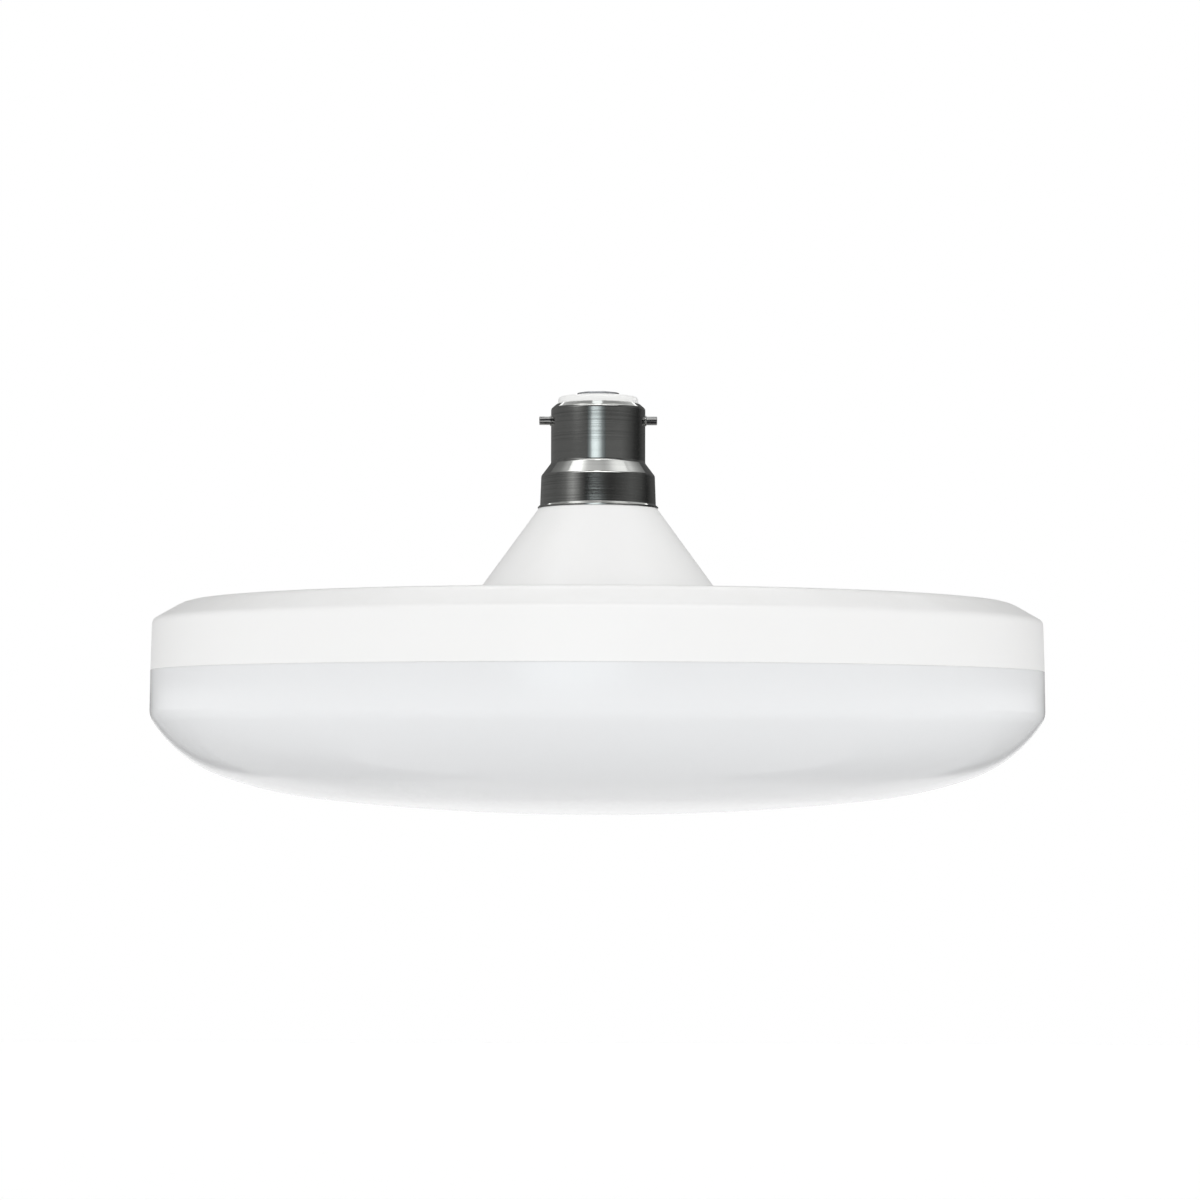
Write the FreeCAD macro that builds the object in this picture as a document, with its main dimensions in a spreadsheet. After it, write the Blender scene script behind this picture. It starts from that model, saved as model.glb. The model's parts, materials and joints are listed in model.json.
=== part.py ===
import FreeCAD, Part

import math
import os
from types import SimpleNamespace

import Sketcher

# Driving dimensions in millimetres, angles in degrees
SIZES = {
    # Cap shell, measured from the axis of the bayonet pins
    "barrel_radius": 11.0,
    "shell_wall": 0.4,
    "mouth_height": 3.75,
    "mouth_lip": 1.55,
    "shoulder_run": 1.2,
    "shoulder_height": 1.0,
    "shoulder_bend": 1.3,
    "barrel_drop": 10.0,
    "cone_height": 3.0,
    "cone_run": 2.25,
    "skirt_height": 6.85,
    "skirt_taper": 0.25,
    "flare_height": 0.8,
    "flare_run": 0.55,
    "shell_bend": 0.8,
    # Bayonet pins
    "pin_radius": 1.0,
    "pin_length": 2.75,
    "pin_edge": 0.15,
    "collar_radius": 1.25,
    "collar_height": 0.25,
    "shank_radius": 0.8,
    "shank_gap": 0.05,
    "rivet_radius": 1.25,
    "rivet_height": 0.5,
    "rivet_gap": 0.02,
    # Insulator
    "insulator_height": 1.7,
    "insulator_gap": 0.1,
    "insulator_round": 0.7,
    "flange_side": 0.25,
    "recess_depth": 0.3,
    "tower_length": 3.6,
    "tower_wall": 0.9,
    # Contacts
    "contact_spacing": 8.8,
    "contact_width": 9.8,
    "contact_depth": 5.6,
    "contact_height": 0.85,
    "contact_dome": 34.0,
    "contact_gap": 0.05,
    "stem_wall": 0.5,
    "stem_end": 0.4,
    "stem_bore_depth": 4.5,
    # Housing neck
    "spigot_gap": 0.1,
    "spigot_wall": 1.8,
    "spigot_inset": 0.8,
    "lip_step": 0.2,
    "neck_height": 22.35,
    "neck_run": 16.25,
    "neck_wall": 2.0,
    "neck_round": 3.0,
    # Housing disc
    "plateau_radius": 95.1,
    "plateau_wall": 2.0,
    "plateau_round": 8.0,
    "chamfer_run": 7.5,
    "chamfer_drop": 4.31,
    "rim_height": 11.42,
    "rim_taper": 0.3,
    "rim_wall": 1.6,
    "rim_round": 1.0,
    "seam_chamfer": 0.25,
    "snap_height": 5.3,
    "snap_slot": 1.8,
    "snap_depth": 0.8,
    # Ribs and bosses under the disc
    "rib_count": 12,
    "rib_height": 3.0,
    "rib_wall": 1.4,
    "rib_gap": 3.0,
    "rib_inset": 4.6,
    "driver_boss_count": 3,
    "driver_boss_radius": 2.75,
    "driver_boss_height": 2.5,
    "driver_boss_inset": 4.5,
    "board_boss_count": 6,
    "board_boss_radius": 4.0,
    "board_boss_height": 7.0,
    "board_boss_inset": 14.0,
    # Diffuser
    "diffuser_wall": 1.6,
    "diffuser_side": 9.65,
    "diffuser_taper": 0.1,
    "corner_radius": 2.71,
    "knuckle_radius": 31.28,
    "crown_radius": 97.67,
    "corner_angle": 58.73,
    "knuckle_angle": 19.35,
    "crown_angle": 6.46,
    "tongue_gap": 0.2,
    "tongue_wall": 1.2,
    "tongue_height": 8.7,
    "tongue_root": 2.3,
    "tongue_blend": 3.0,
    "hook_count": 6,
    "hook_angle": 7.0,
    "hook_reach": 0.75,
    "hook_face": 0.4,
    "hook_gap": 0.1,
    # Heat spreader, insulating sheet and LED board
    "spreader_wall": 1.0,
    "spreader_gap": 1.6,
    "spreader_edge": 2.5,
    "spreader_bend": 0.6,
    "spreader_hole": 4.5,
    "sheet_wall": 0.3,
    "sheet_margin": 2.0,
    "sheet_hole": 4.0,
    "board_wall": 1.0,
    "board_margin": 4.0,
    "board_hole": 3.5,
    # LED packages
    "led_length": 3.5,
    "led_width": 2.8,
    "led_height": 0.7,
    "led_frame": 0.35,
    "led_well": 0.4,
    "led_edge": 8.0,
    "led_pitch": 28.0,
    "led_count_outer": 24,
    "led_count_middle": 18,
    "led_count_inner": 12,
    # Screws
    "board_screw_radius": 1.25,
    "board_screw_length": 7.5,
    "board_head_radius": 2.6,
    "board_head_height": 1.5,
    "driver_screw_radius": 1.0,
    "driver_screw_length": 4.5,
    "driver_head_radius": 2.0,
    "driver_head_height": 1.2,
    "screw_gap": 0.05,
    "screw_clearance": 0.35,
    "screw_tip": 0.4,
    # Driver board and what stands on it
    "driver_board_radius": 36.0,
    "driver_board_wall": 1.6,
    "leg_radius": 0.3,
    "leg_gap": 0.1,
    "leg_end": 1.0,
    "bulk_radius": 5.0,
    "bulk_height": 16.0,
    "bulk_pitch": 5.0,
    "bulk_x": -10.0,
    "bulk_y": 7.0,
    "output_radius": 4.0,
    "output_height": 12.0,
    "output_pitch": 3.5,
    "output_x": 9.0,
    "output_y": 10.0,
    "can_round": 0.5,
    "crimp_height": 1.8,
    "crimp_depth": 0.35,
    "crimp_width": 0.9,
    "film_length": 10.0,
    "film_width": 5.0,
    "film_height": 9.0,
    "film_pitch": 7.5,
    "film_round": 0.6,
    "film_x": -11.0,
    "film_y": -9.0,
    "varistor_radius": 3.5,
    "varistor_wall": 3.4,
    "varistor_pitch": 5.0,
    "varistor_lift": 0.6,
    "varistor_round": 0.9,
    "varistor_x": -20.0,
    "varistor_y": -1.0,
    "resistor_radius": 1.6,
    "resistor_waist": 1.3,
    "resistor_cap": 1.6,
    "resistor_length": 8.0,
    "resistor_pitch": 12.0,
    "resistor_lift": 0.3,
    "resistor_x": -9.0,
    "resistor_y": -18.5,
    "rectifier_length": 4.7,
    "rectifier_width": 3.9,
    "rectifier_height": 2.5,
    "rectifier_pitch": 2.54,
    "rectifier_x": -17.0,
    "rectifier_y": 16.0,
    "chip_length": 4.9,
    "chip_width": 3.9,
    "chip_height": 1.5,
    "chip_pitch": 1.27,
    "chip_x": 19.0,
    "chip_y": 8.0,
    "foot_width": 0.45,
    "foot_wall": 0.2,
    "foot_reach": 1.0,
    "foot_rise": 0.6,
    "package_lift": 0.1,
    # Transformer
    "core_width": 13.0,
    "core_depth": 5.0,
    "core_yoke": 2.0,
    "core_limb": 1.5,
    "core_pole": 2.1,
    "bobbin_rail": 2.4,
    "bobbin_rail_width": 2.2,
    "bobbin_flange": 0.8,
    "bobbin_tube": 0.6,
    "bobbin_gap": 0.15,
    "winding_height": 5.0,
    "winding_wall": 1.6,
    "transformer_x": 9.5,
    "transformer_y": -6.5,
    # Wires and output pins
    "wire_radius": 0.65,
    "wire_gap": 0.08,
    "wire_reach": 22.0,
    "wire_exit": 5.35,
    "wire_drop": 16.85,
    "wire_side": 3.35,
    "wire_rise": 15.0,
    "wire_inset": 6.0,
    "wire_stand": 5.0,
    "wire_sway": 1.3,
    "wire_end": 0.5,
    "output_pin_radius": 0.4,
    "output_pin_spacing": 4.0,
    "output_pin_top": 0.6,
    "output_pin_gap": 0.05,
    "header_length": 7.0,
    "header_width": 2.5,
    "header_height": 1.6,
    "socket_length": 10.0,
    "socket_width": 5.0,
    "socket_height": 2.5,
    "socket_round": 0.4,
}


class Size:
    """A dimension: its expression over the sheet's cells, and the number that it gives."""

    def __init__(self, text, value):
        self.text = text
        self.value = value

    def joined(self, sign, other, value):
        return Size(f"({self.text} {sign} {other.text})", value)

    def __add__(self, other):
        other = as_size(other)
        return self.joined("+", other, self.value + other.value)

    def __sub__(self, other):
        other = as_size(other)
        return self.joined("-", other, self.value - other.value)

    def __mul__(self, other):
        other = as_size(other)
        return self.joined("*", other, self.value * other.value)

    def __truediv__(self, other):
        other = as_size(other)
        return self.joined("/", other, self.value / other.value)

    def __neg__(self):
        return as_size(0.0) - self


def as_size(number):
    """A Size as it is, or a plain number as a Size."""
    if isinstance(number, Size):
        return number
    return Size(repr(float(number)), float(number))


def root(size):
    return Size(f"sqrt({size.text})", math.sqrt(size.value))


def sine(angle):
    angle = as_size(angle)
    return Size(f"sin({angle.text})", math.sin(math.radians(angle.value)))


def cosine(angle):
    angle = as_size(angle)
    return Size(f"cos({angle.text})", math.cos(math.radians(angle.value)))


def hypotenuse(run, rise):
    return root(run * run + rise * rise)


ZERO = as_size(0.0)

doc = FreeCAD.newDocument("LedDiscBulb")
sheet = doc.addObject("Spreadsheet::Sheet", "Sizes")
for row, (name, number) in enumerate(SIZES.items(), start=1):
    sheet.set(f"A{row}", name)
    sheet.set(f"B{row}", str(number))
    sheet.setAlias(f"B{row}", name)
doc.recompute()

s = SimpleNamespace(**{name: Size(f"Sizes.{name}", float(number)) for name, number in SIZES.items()})


# Helpers for sketches and features

def new_body(label):
    body = doc.addObject("PartDesign::Body", label)
    body.Label = label
    return body


def place(body, x, y, z):
    """Put a body at a point whose coordinates are bound to the sheet."""
    body.Placement = FreeCAD.Placement(FreeCAD.Vector(x.value, y.value, z.value), FreeCAD.Rotation())
    for axis, size in zip("xyz", (x, y, z)):
        body.setExpression(f"Placement.Base.{axis}", size.text)


def origin_item(body, role):
    """The plane or axis of the body's own origin that has this role."""
    return next(item for item in body.Origin.OriginFeatures if item.Role == role)


def bind(feature, name, size):
    setattr(feature, name, size.value)
    feature.setExpression(name, size.text)


def new_sketch(body, name, role, offset=ZERO):
    """An empty sketch on an origin plane of the body, moved along the plane's normal."""
    sketch = body.newObject("Sketcher::SketchObject", name)
    sketch.AttachmentSupport = [(origin_item(body, role), "")]
    sketch.MapMode = "FlatFace"
    sketch.AttachmentOffset = FreeCAD.Placement(FreeCAD.Vector(0, 0, offset.value), FreeCAD.Rotation())
    sketch.setExpression("AttachmentOffset.Base.z", offset.text)
    return sketch


def constrain(sketch, kind, name, size, *where):
    """Add a dimension to the sketch and bind it to its size."""
    index = sketch.addConstraint(Sketcher.Constraint(kind, *where, size.value))
    sketch.renameConstraint(index, name)
    sketch.setExpression(f"Constraints.{name}", size.text)


def arc_between(start, end, bend):
    """An anticlockwise arc through both points; a negative bend runs it from end to start."""
    first, last = (start, end) if bend > 0 else (end, start)
    chord = last - first
    height = math.sqrt(max(bend * bend - chord.Length ** 2 / 4, 0.0))
    middle = (first + last) * 0.5
    centre = middle + FreeCAD.Vector(-chord.y, chord.x, 0).normalize() * height
    angles = [math.atan2(point.y - centre.y, point.x - centre.x) for point in (first, last)]
    if angles[1] < angles[0]:
        angles[1] += 2 * math.pi
    circle = Part.Circle(centre, FreeCAD.Vector(0, 0, 1), abs(bend))
    return Part.ArcOfCircle(circle, *angles)


def draw_outline(sketch, corners):
    """Draw a closed outline of (x, y) corners. A corner (x, y, bend) is reached by an arc
    of that radius, which turns left where bend is positive and right where it is negative."""
    corners = [tuple(as_size(part) for part in corner) for corner in corners]
    points = [FreeCAD.Vector(corner[0].value, corner[1].value, 0) for corner in corners]
    ends = []
    for place_in_line, start in enumerate(points):
        following = (place_in_line + 1) % len(points)
        end = points[following]
        if len(corners[following]) == 3:
            bend = corners[following][2]
            edge = sketch.addGeometry(arc_between(start, end, bend.value), False)
            radius = bend if bend.value > 0 else -bend
            constrain(sketch, "Radius", f"bend_{edge}", radius, edge)
            ends.append((edge, 1, 2) if bend.value > 0 else (edge, 2, 1))
        else:
            edge = sketch.addGeometry(Part.LineSegment(start, end), False)
            ends.append((edge, 1, 2))
    for (edge, start, end), (other, other_start, _) in zip(ends, ends[1:] + ends[:1]):
        sketch.addConstraint(Sketcher.Constraint("Coincident", edge, end, other, other_start))
    for (edge, start, _), corner in zip(ends, corners):
        constrain(sketch, "DistanceX", f"x_{edge}", corner[0], -1, 1, edge, start)
        constrain(sketch, "DistanceY", f"y_{edge}", corner[1], -1, 1, edge, start)


def draw_circle(sketch, x, y, radius):
    centre = FreeCAD.Vector(x.value, y.value, 0)
    circle = sketch.addGeometry(Part.Circle(centre, FreeCAD.Vector(0, 0, 1), radius.value), False)
    constrain(sketch, "DistanceX", f"x_{circle}", x, -1, 1, circle, 3)
    constrain(sketch, "DistanceY", f"y_{circle}", y, -1, 1, circle, 3)
    constrain(sketch, "Radius", f"radius_{circle}", radius, circle)


def rectangle(x, y, length, width):
    """The corners of a rectangle about the point x, y."""
    left, right = x - length / 2, x + length / 2
    low, high = y - width / 2, y + width / 2
    return [(left, low), (right, low), (right, high), (left, high)]


def draw_stadium(sketch, x, y, length, width):
    """Draw a slot shape about the point x, y: long in X, with half-round ends."""
    half = width / 2
    ends = [x + (length - width) / 2, x - (length - width) / 2]
    arcs = []
    for end, first_angle in zip(ends, (-math.pi / 2, math.pi / 2)):
        centre = FreeCAD.Vector(end.value, y.value, 0)
        circle = Part.Circle(centre, FreeCAD.Vector(0, 0, 1), half.value)
        arc = sketch.addGeometry(Part.ArcOfCircle(circle, first_angle, first_angle + math.pi), False)
        constrain(sketch, "DistanceX", f"x_{arc}", end, -1, 1, arc, 3)
        constrain(sketch, "DistanceY", f"y_{arc}", y, -1, 1, arc, 3)
        constrain(sketch, "Radius", f"radius_{arc}", half, arc)
        arcs.append(arc)
    for first, second in (arcs, arcs[::-1]):
        start = sketch.getPoint(first, 2)
        end = sketch.getPoint(second, 1)
        side = sketch.addGeometry(Part.LineSegment(start, end), False)
        sketch.addConstraint(Sketcher.Constraint("Tangent", first, 2, side, 1))
        sketch.addConstraint(Sketcher.Constraint("Tangent", side, 2, second, 1))


def finished(body, feature):
    """Make the feature the body's tip and work out its shape."""
    body.Tip = feature
    doc.recompute()
    return feature


def turn(body, name, corners, axis="V_Axis"):
    """Turn an outline in the XZ plane about the body's Z axis, or about X with H_Axis."""
    sketch = new_sketch(body, name + "Profile", "XZ_Plane")
    draw_outline(sketch, corners)
    feature = body.newObject("PartDesign::Revolution", name)
    feature.Profile = sketch
    feature.ReferenceAxis = (sketch, [axis])
    feature.Angle = 360.0
    return finished(body, feature)


def extrude(body, name, kind, sketch, length, upward):
    """Pad or pocket a sketch along its plane's normal (upward) or against it."""
    feature = body.newObject(f"PartDesign::{kind}", name)
    feature.Profile = sketch
    bind(feature, "Length", length)
    feature.Reversed = upward == (kind == "Pocket")
    return finished(body, feature)


def pad(body, name, sketch, length, upward=True):
    return extrude(body, name, "Pad", sketch, length, upward)


def pocket(body, name, sketch, length, upward=True):
    return extrude(body, name, "Pocket", sketch, length, upward)


def drill(body, name, sketch):
    """Cut a sketch right through the body, both ways."""
    feature = body.newObject("PartDesign::Pocket", name)
    feature.Profile = sketch
    feature.Type = "ThroughAll"
    feature.SideType = "Symmetric"
    return finished(body, feature)


def ring(body, name, originals, count):
    """Repeat features around the body's Z axis."""
    feature = body.newObject("PartDesign::PolarPattern", name)
    feature.Originals = originals
    feature.Axis = (origin_item(body, "Z_Axis"), [""])
    feature.Angle = 360.0
    feature.Occurrences = int(count.value)
    feature.setExpression("Occurrences", count.text)
    return finished(body, feature)


def ring_edges(shape, spots):
    """Names of the round edges about the Z axis whose radius and height are among the spots."""
    names = []
    for number, edge in enumerate(shape.Edges, start=1):
        if not isinstance(edge.Curve, Part.Circle):
            continue
        for radius, height in spots:
            same_radius = abs(edge.Curve.Radius - radius.value) < 1e-4
            if same_radius and abs(edge.Curve.Center.z - height.value) < 1e-4:
                names.append(f"Edge{number}")
    return names


def upright_edges(shape):
    """Names of the straight edges that stand along Z."""
    names = []
    for number, edge in enumerate(shape.Edges, start=1):
        box = edge.BoundBox
        if isinstance(edge.Curve, Part.Line) and box.XLength < 1e-4 and box.YLength < 1e-4:
            names.append(f"Edge{number}")
    return names


def round_off(body, name, base, edges, radius):
    feature = body.newObject("PartDesign::Fillet", name)
    feature.Base = (base, edges)
    bind(feature, "Radius", radius)
    return finished(body, feature)


# Levels and radii of the cap, with Z zero on the axis of the bayonet pins
mouth_radius = s.barrel_radius - s.mouth_lip
mouth_under = s.mouth_height - s.shell_wall
shoulder_radius = s.barrel_radius - s.shoulder_run
shoulder_foot = s.mouth_height - s.shoulder_height
barrel_end = -s.barrel_drop
cone_end = barrel_end - s.cone_height
skirt_end = cone_end - s.skirt_height
lip_end = skirt_end - s.flare_height
skirt_top_radius = s.barrel_radius + s.cone_run
skirt_foot_radius = skirt_top_radius + s.skirt_taper
lip_radius = skirt_foot_radius + s.flare_run
barrel_inside = s.barrel_radius - s.shell_wall
insulator_top = s.mouth_height + s.insulator_height

# Levels and radii of the housing
spigot_radius = skirt_top_radius - s.shell_wall - s.spigot_gap
spigot_bore = spigot_radius - s.spigot_wall
neck_top_radius = lip_radius - s.lip_step
neck_foot_radius = neck_top_radius + s.neck_run
plateau_top = lip_end - s.neck_height
plateau_under = plateau_top - s.plateau_wall
rim_top_radius = s.plateau_radius + s.chamfer_run
rim_top = plateau_top - s.chamfer_drop
seam = rim_top - s.rim_height
rim_foot_radius = rim_top_radius + s.rim_taper
rim_inside = rim_top_radius - s.rim_wall
snap_low = seam + s.snap_height
snap_high = snap_low + s.snap_slot

# Levels of the boards, from the plateau's underside down
driver_board_top = plateau_under - s.driver_boss_height
driver_board_under = driver_board_top - s.driver_board_wall
spreader_top = plateau_under - s.board_boss_height
board_top = spreader_top - s.spreader_wall
board_under = board_top - s.board_wall

# Radii of the boards and of what they carry
tongue_outside = rim_inside - s.tongue_gap
tongue_inside = tongue_outside - s.tongue_wall
spreader_radius = tongue_inside - s.spreader_gap
board_radius = spreader_radius - s.board_margin
led_ring_outer = board_radius - s.led_edge
led_ring_middle = led_ring_outer - s.led_pitch
led_ring_inner = led_ring_middle - s.led_pitch
board_screw_ring = led_ring_outer - s.board_boss_inset
driver_screw_ring = s.driver_board_radius - s.driver_boss_inset

# Bores that follow what passes through them
wire_bore = s.wire_radius + s.wire_gap
stem_radius = wire_bore + s.stem_wall
tower_bore = stem_radius + s.contact_gap
tower_radius = tower_bore + s.tower_wall
leg_hole = s.leg_radius + s.leg_gap
output_pin_hole = s.output_pin_radius + s.output_pin_gap


# Cap shell: drawn from sheet, with a turned-in mouth and a flared lip

def make_cap_shell():
    body = new_body("cap_shell")
    wall = s.shell_wall
    cap = turn(body, "Shell", [
        (mouth_radius, mouth_under),
        (mouth_radius, s.mouth_height),
        (shoulder_radius, s.mouth_height),
        (s.barrel_radius, shoulder_foot, -s.shoulder_bend),
        (s.barrel_radius, barrel_end),
        (skirt_top_radius, cone_end),
        (skirt_foot_radius, skirt_end),
        (lip_radius, lip_end),
        (lip_radius - wall, lip_end),
        (skirt_foot_radius - wall, skirt_end),
        (skirt_top_radius - wall, cone_end),
        (barrel_inside, barrel_end),
        (barrel_inside, shoulder_foot),
        (shoulder_radius, mouth_under, s.shoulder_bend - wall),
    ])
    bends = ring_edges(cap.Shape, [
        (s.barrel_radius, barrel_end),
        (skirt_top_radius, cone_end),
        (barrel_inside, barrel_end),
        (skirt_top_radius - wall, cone_end),
    ])
    round_off(body, "Bends", cap, bends, s.shell_bend)
    holes = new_sketch(body, "PinHoles", "YZ_Plane")
    draw_circle(holes, ZERO, ZERO, s.shank_radius + s.shank_gap)
    drill(body, "PinHolePair", holes)
    return body


# Bayonet pin: turned, with a collar outside the shell and a rivet head inside

def make_bayonet_pin(label, side):
    body = new_body(label)
    inside = barrel_inside * barrel_inside - s.rivet_radius * s.rivet_radius
    head_face = root(inside) - s.rivet_gap
    head_back = head_face - s.rivet_height
    collar_face = s.barrel_radius + s.collar_height
    tip = s.barrel_radius + s.pin_length
    outline = [
        (head_back, ZERO),
        (head_back, s.rivet_radius),
        (head_face, s.rivet_radius),
        (head_face, s.shank_radius),
        (s.barrel_radius, s.shank_radius),
        (s.barrel_radius, s.collar_radius),
        (collar_face, s.collar_radius),
        (collar_face, s.pin_radius),
        (tip - s.pin_edge, s.pin_radius),
        (tip, s.pin_radius - s.pin_edge),
        (tip, ZERO),
    ]
    turn(body, "Pin", [(x * side, z) for x, z in outline], axis="H_Axis")
    return body


# Insulator: moulded disc held under the mouth, with a tower round each contact's stem

def make_insulator():
    body = new_body("cap_insulator")
    boss_radius = mouth_radius - s.insulator_gap
    flange_radius = barrel_inside - s.insulator_gap
    flange_under = shoulder_foot - s.flange_side
    disc = turn(body, "Disc", [
        (ZERO, insulator_top),
        (boss_radius, insulator_top),
        (boss_radius, mouth_under),
        (shoulder_radius - s.insulator_gap, mouth_under),
        (flange_radius, shoulder_foot, s.shell_wall - s.shoulder_bend),
        (flange_radius, flange_under),
        (ZERO, flange_under),
    ])
    top_edge = ring_edges(disc.Shape, [(boss_radius, insulator_top)])
    round_off(body, "TopEdge", disc, top_edge, s.insulator_round)
    towers = new_sketch(body, "TowerRounds", "XY_Plane", flange_under)
    recesses = new_sketch(body, "RecessOutlines", "XY_Plane", insulator_top)
    bores = new_sketch(body, "BoreRounds", "XY_Plane", insulator_top)
    for side in (-1, 1):
        centre = s.contact_spacing / 2 * side
        draw_circle(towers, ZERO, centre, tower_radius)
        draw_circle(bores, ZERO, centre, tower_bore)
        length = s.contact_width + s.contact_gap * 2
        width = s.contact_depth + s.contact_gap * 2
        draw_stadium(recesses, ZERO, centre, length, width)
    pad(body, "Towers", towers, s.tower_length, upward=False)
    pocket(body, "Recesses", recesses, s.recess_depth, upward=False)
    drill(body, "Bores", bores)
    return body


# Contact: domed pad on a hollow stem, which holds the end of its wire

def make_contact(label, side):
    body = new_body(label)
    seat = -s.recess_depth
    outline = new_sketch(body, "PadOutline", "XY_Plane", seat)
    draw_stadium(outline, ZERO, ZERO, s.contact_width, s.contact_depth)
    pad(body, "PadBlock", outline, s.recess_depth + s.contact_height)
    reach = s.contact_width
    drop = s.contact_dome - root(s.contact_dome * s.contact_dome - reach * reach)
    cutter = new_sketch(body, "DomeProfile", "XZ_Plane")
    draw_outline(cutter, [
        (ZERO, s.contact_height),
        (reach, s.contact_height - drop, -s.contact_dome),
        (reach, s.contact_height * 2),
        (ZERO, s.contact_height * 2),
    ])
    dome = body.newObject("PartDesign::Groove", "Dome")
    dome.Profile = cutter
    dome.ReferenceAxis = (cutter, ["V_Axis"])
    dome.Angle = 360.0
    finished(body, dome)
    stem_length = insulator_top - s.recess_depth - (shoulder_foot - s.flange_side) + s.tower_length
    stem_length = stem_length + s.stem_end
    stem = new_sketch(body, "StemRound", "XY_Plane", seat)
    draw_circle(stem, ZERO, ZERO, stem_radius)
    pad(body, "Stem", stem, stem_length, upward=False)
    bore = new_sketch(body, "BoreRound", "XY_Plane", seat - stem_length)
    draw_circle(bore, ZERO, ZERO, wire_bore)
    pocket(body, "WireBore", bore, s.stem_bore_depth)
    place(body, ZERO, s.contact_spacing / 2 * side, insulator_top)
    return body


# Housing: one moulding of spigot, cone neck, disc, chamfer and rim

def make_housing():
    body = new_body("housing")
    spigot_foot = skirt_foot_radius - s.shell_wall - s.spigot_gap
    spigot_top = cone_end - s.spigot_inset
    neck_slope = s.neck_height / s.neck_run
    neck_offset = s.neck_wall * hypotenuse(s.neck_run, s.neck_height) / s.neck_height
    neck_inner_top = lip_end - (spigot_bore + neck_offset - neck_top_radius) * neck_slope
    neck_inner_foot = neck_foot_radius + s.plateau_wall / neck_slope - neck_offset
    chamfer_length = hypotenuse(s.chamfer_run, s.chamfer_drop)
    chamfer_slope = s.chamfer_drop / s.chamfer_run
    corner_shift = s.plateau_wall * (chamfer_length - s.chamfer_run) / s.chamfer_drop
    plateau_inner_radius = s.plateau_radius - corner_shift
    rim_inner_top = plateau_under - (rim_inside - plateau_inner_radius) * chamfer_slope
    shell = turn(body, "Moulding", [
        (spigot_bore, spigot_top),
        (spigot_radius, spigot_top),
        (spigot_foot, skirt_end),
        (spigot_foot, lip_end),
        (neck_top_radius, lip_end),
        (neck_foot_radius, plateau_top),
        (s.plateau_radius, plateau_top),
        (rim_top_radius, rim_top),
        (rim_foot_radius, seam + s.seam_chamfer),
        (rim_foot_radius - s.seam_chamfer, seam),
        (rim_inside, seam),
        (rim_inside, snap_low),
        (rim_inside + s.snap_depth, snap_low),
        (rim_inside + s.snap_depth, snap_high),
        (rim_inside, snap_high),
        (rim_inside, rim_inner_top),
        (plateau_inner_radius, plateau_under),
        (neck_inner_foot, plateau_under),
        (spigot_bore, neck_inner_top),
    ])
    foot = ring_edges(shell.Shape, [(neck_foot_radius, plateau_top)])
    blend = round_off(body, "NeckBlend", shell, foot, s.neck_round)
    edge = ring_edges(blend.Shape, [(s.plateau_radius, plateau_top)])
    blend = round_off(body, "PlateauEdge", blend, edge, s.plateau_round)
    corner = ring_edges(blend.Shape, [(rim_top_radius, rim_top)])
    round_off(body, "RimCorner", blend, corner, s.rim_round)

    # Ribs from the driver board's edge out to the chamfer, rooted in the middle of the wall
    root_level = plateau_top - s.plateau_wall / 2
    root_corner = s.plateau_radius - corner_shift / 2
    rib_start = s.driver_board_radius + s.rib_gap
    rib_end = rim_top_radius - s.rib_inset
    rib_under = plateau_under - s.rib_height
    rib_sketch = new_sketch(body, "RibProfile", "XZ_Plane")
    draw_outline(rib_sketch, [
        (rib_start, rib_under),
        (rib_end, rib_under),
        (rib_end, root_level - (rib_end - root_corner) * chamfer_slope),
        (root_corner, root_level),
        (rib_start, root_level),
    ])
    rib = body.newObject("PartDesign::Pad", "Rib")
    rib.Profile = rib_sketch
    rib.SideType = "Symmetric"
    bind(rib, "Length", s.rib_wall)
    finished(body, rib)
    ring(body, "Ribs", [rib], s.rib_count)

    # Bosses for the driver board and for the heat spreader, each with its screw's pilot hole
    add_bosses(
        body, "Driver", s.driver_boss_count, driver_screw_ring, s.driver_boss_radius,
        root_level, driver_board_top, s.driver_screw_radius,
        s.driver_screw_length - s.driver_board_wall + s.screw_tip,
    )
    add_bosses(
        body, "Board", s.board_boss_count, board_screw_ring, s.board_boss_radius,
        root_level, spreader_top, s.board_screw_radius,
        s.board_screw_length - s.board_wall - s.spreader_wall + s.screw_tip,
    )
    return body


def add_bosses(body, name, count, ring_radius, radius, root_level, under, screw_radius, depth):
    """A ring of round bosses that hang from the root level, with blind holes from below."""
    rounds = new_sketch(body, name + "BossRound", "XY_Plane", root_level)
    draw_circle(rounds, ring_radius, ZERO, radius)
    boss = pad(body, name + "Boss", rounds, root_level - under, upward=False)
    ring(body, name + "Bosses", [boss], count)
    hole_round = new_sketch(body, name + "PilotRound", "XY_Plane", under)
    draw_circle(hole_round, ring_radius, ZERO, screw_radius + s.screw_gap)
    hole = pocket(body, name + "Pilot", hole_round, depth)
    ring(body, name + "Pilots", [hole], count)


# Diffuser: opal dome of four tangent arcs, with a tongue and hooks that snap into the rim

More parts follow.
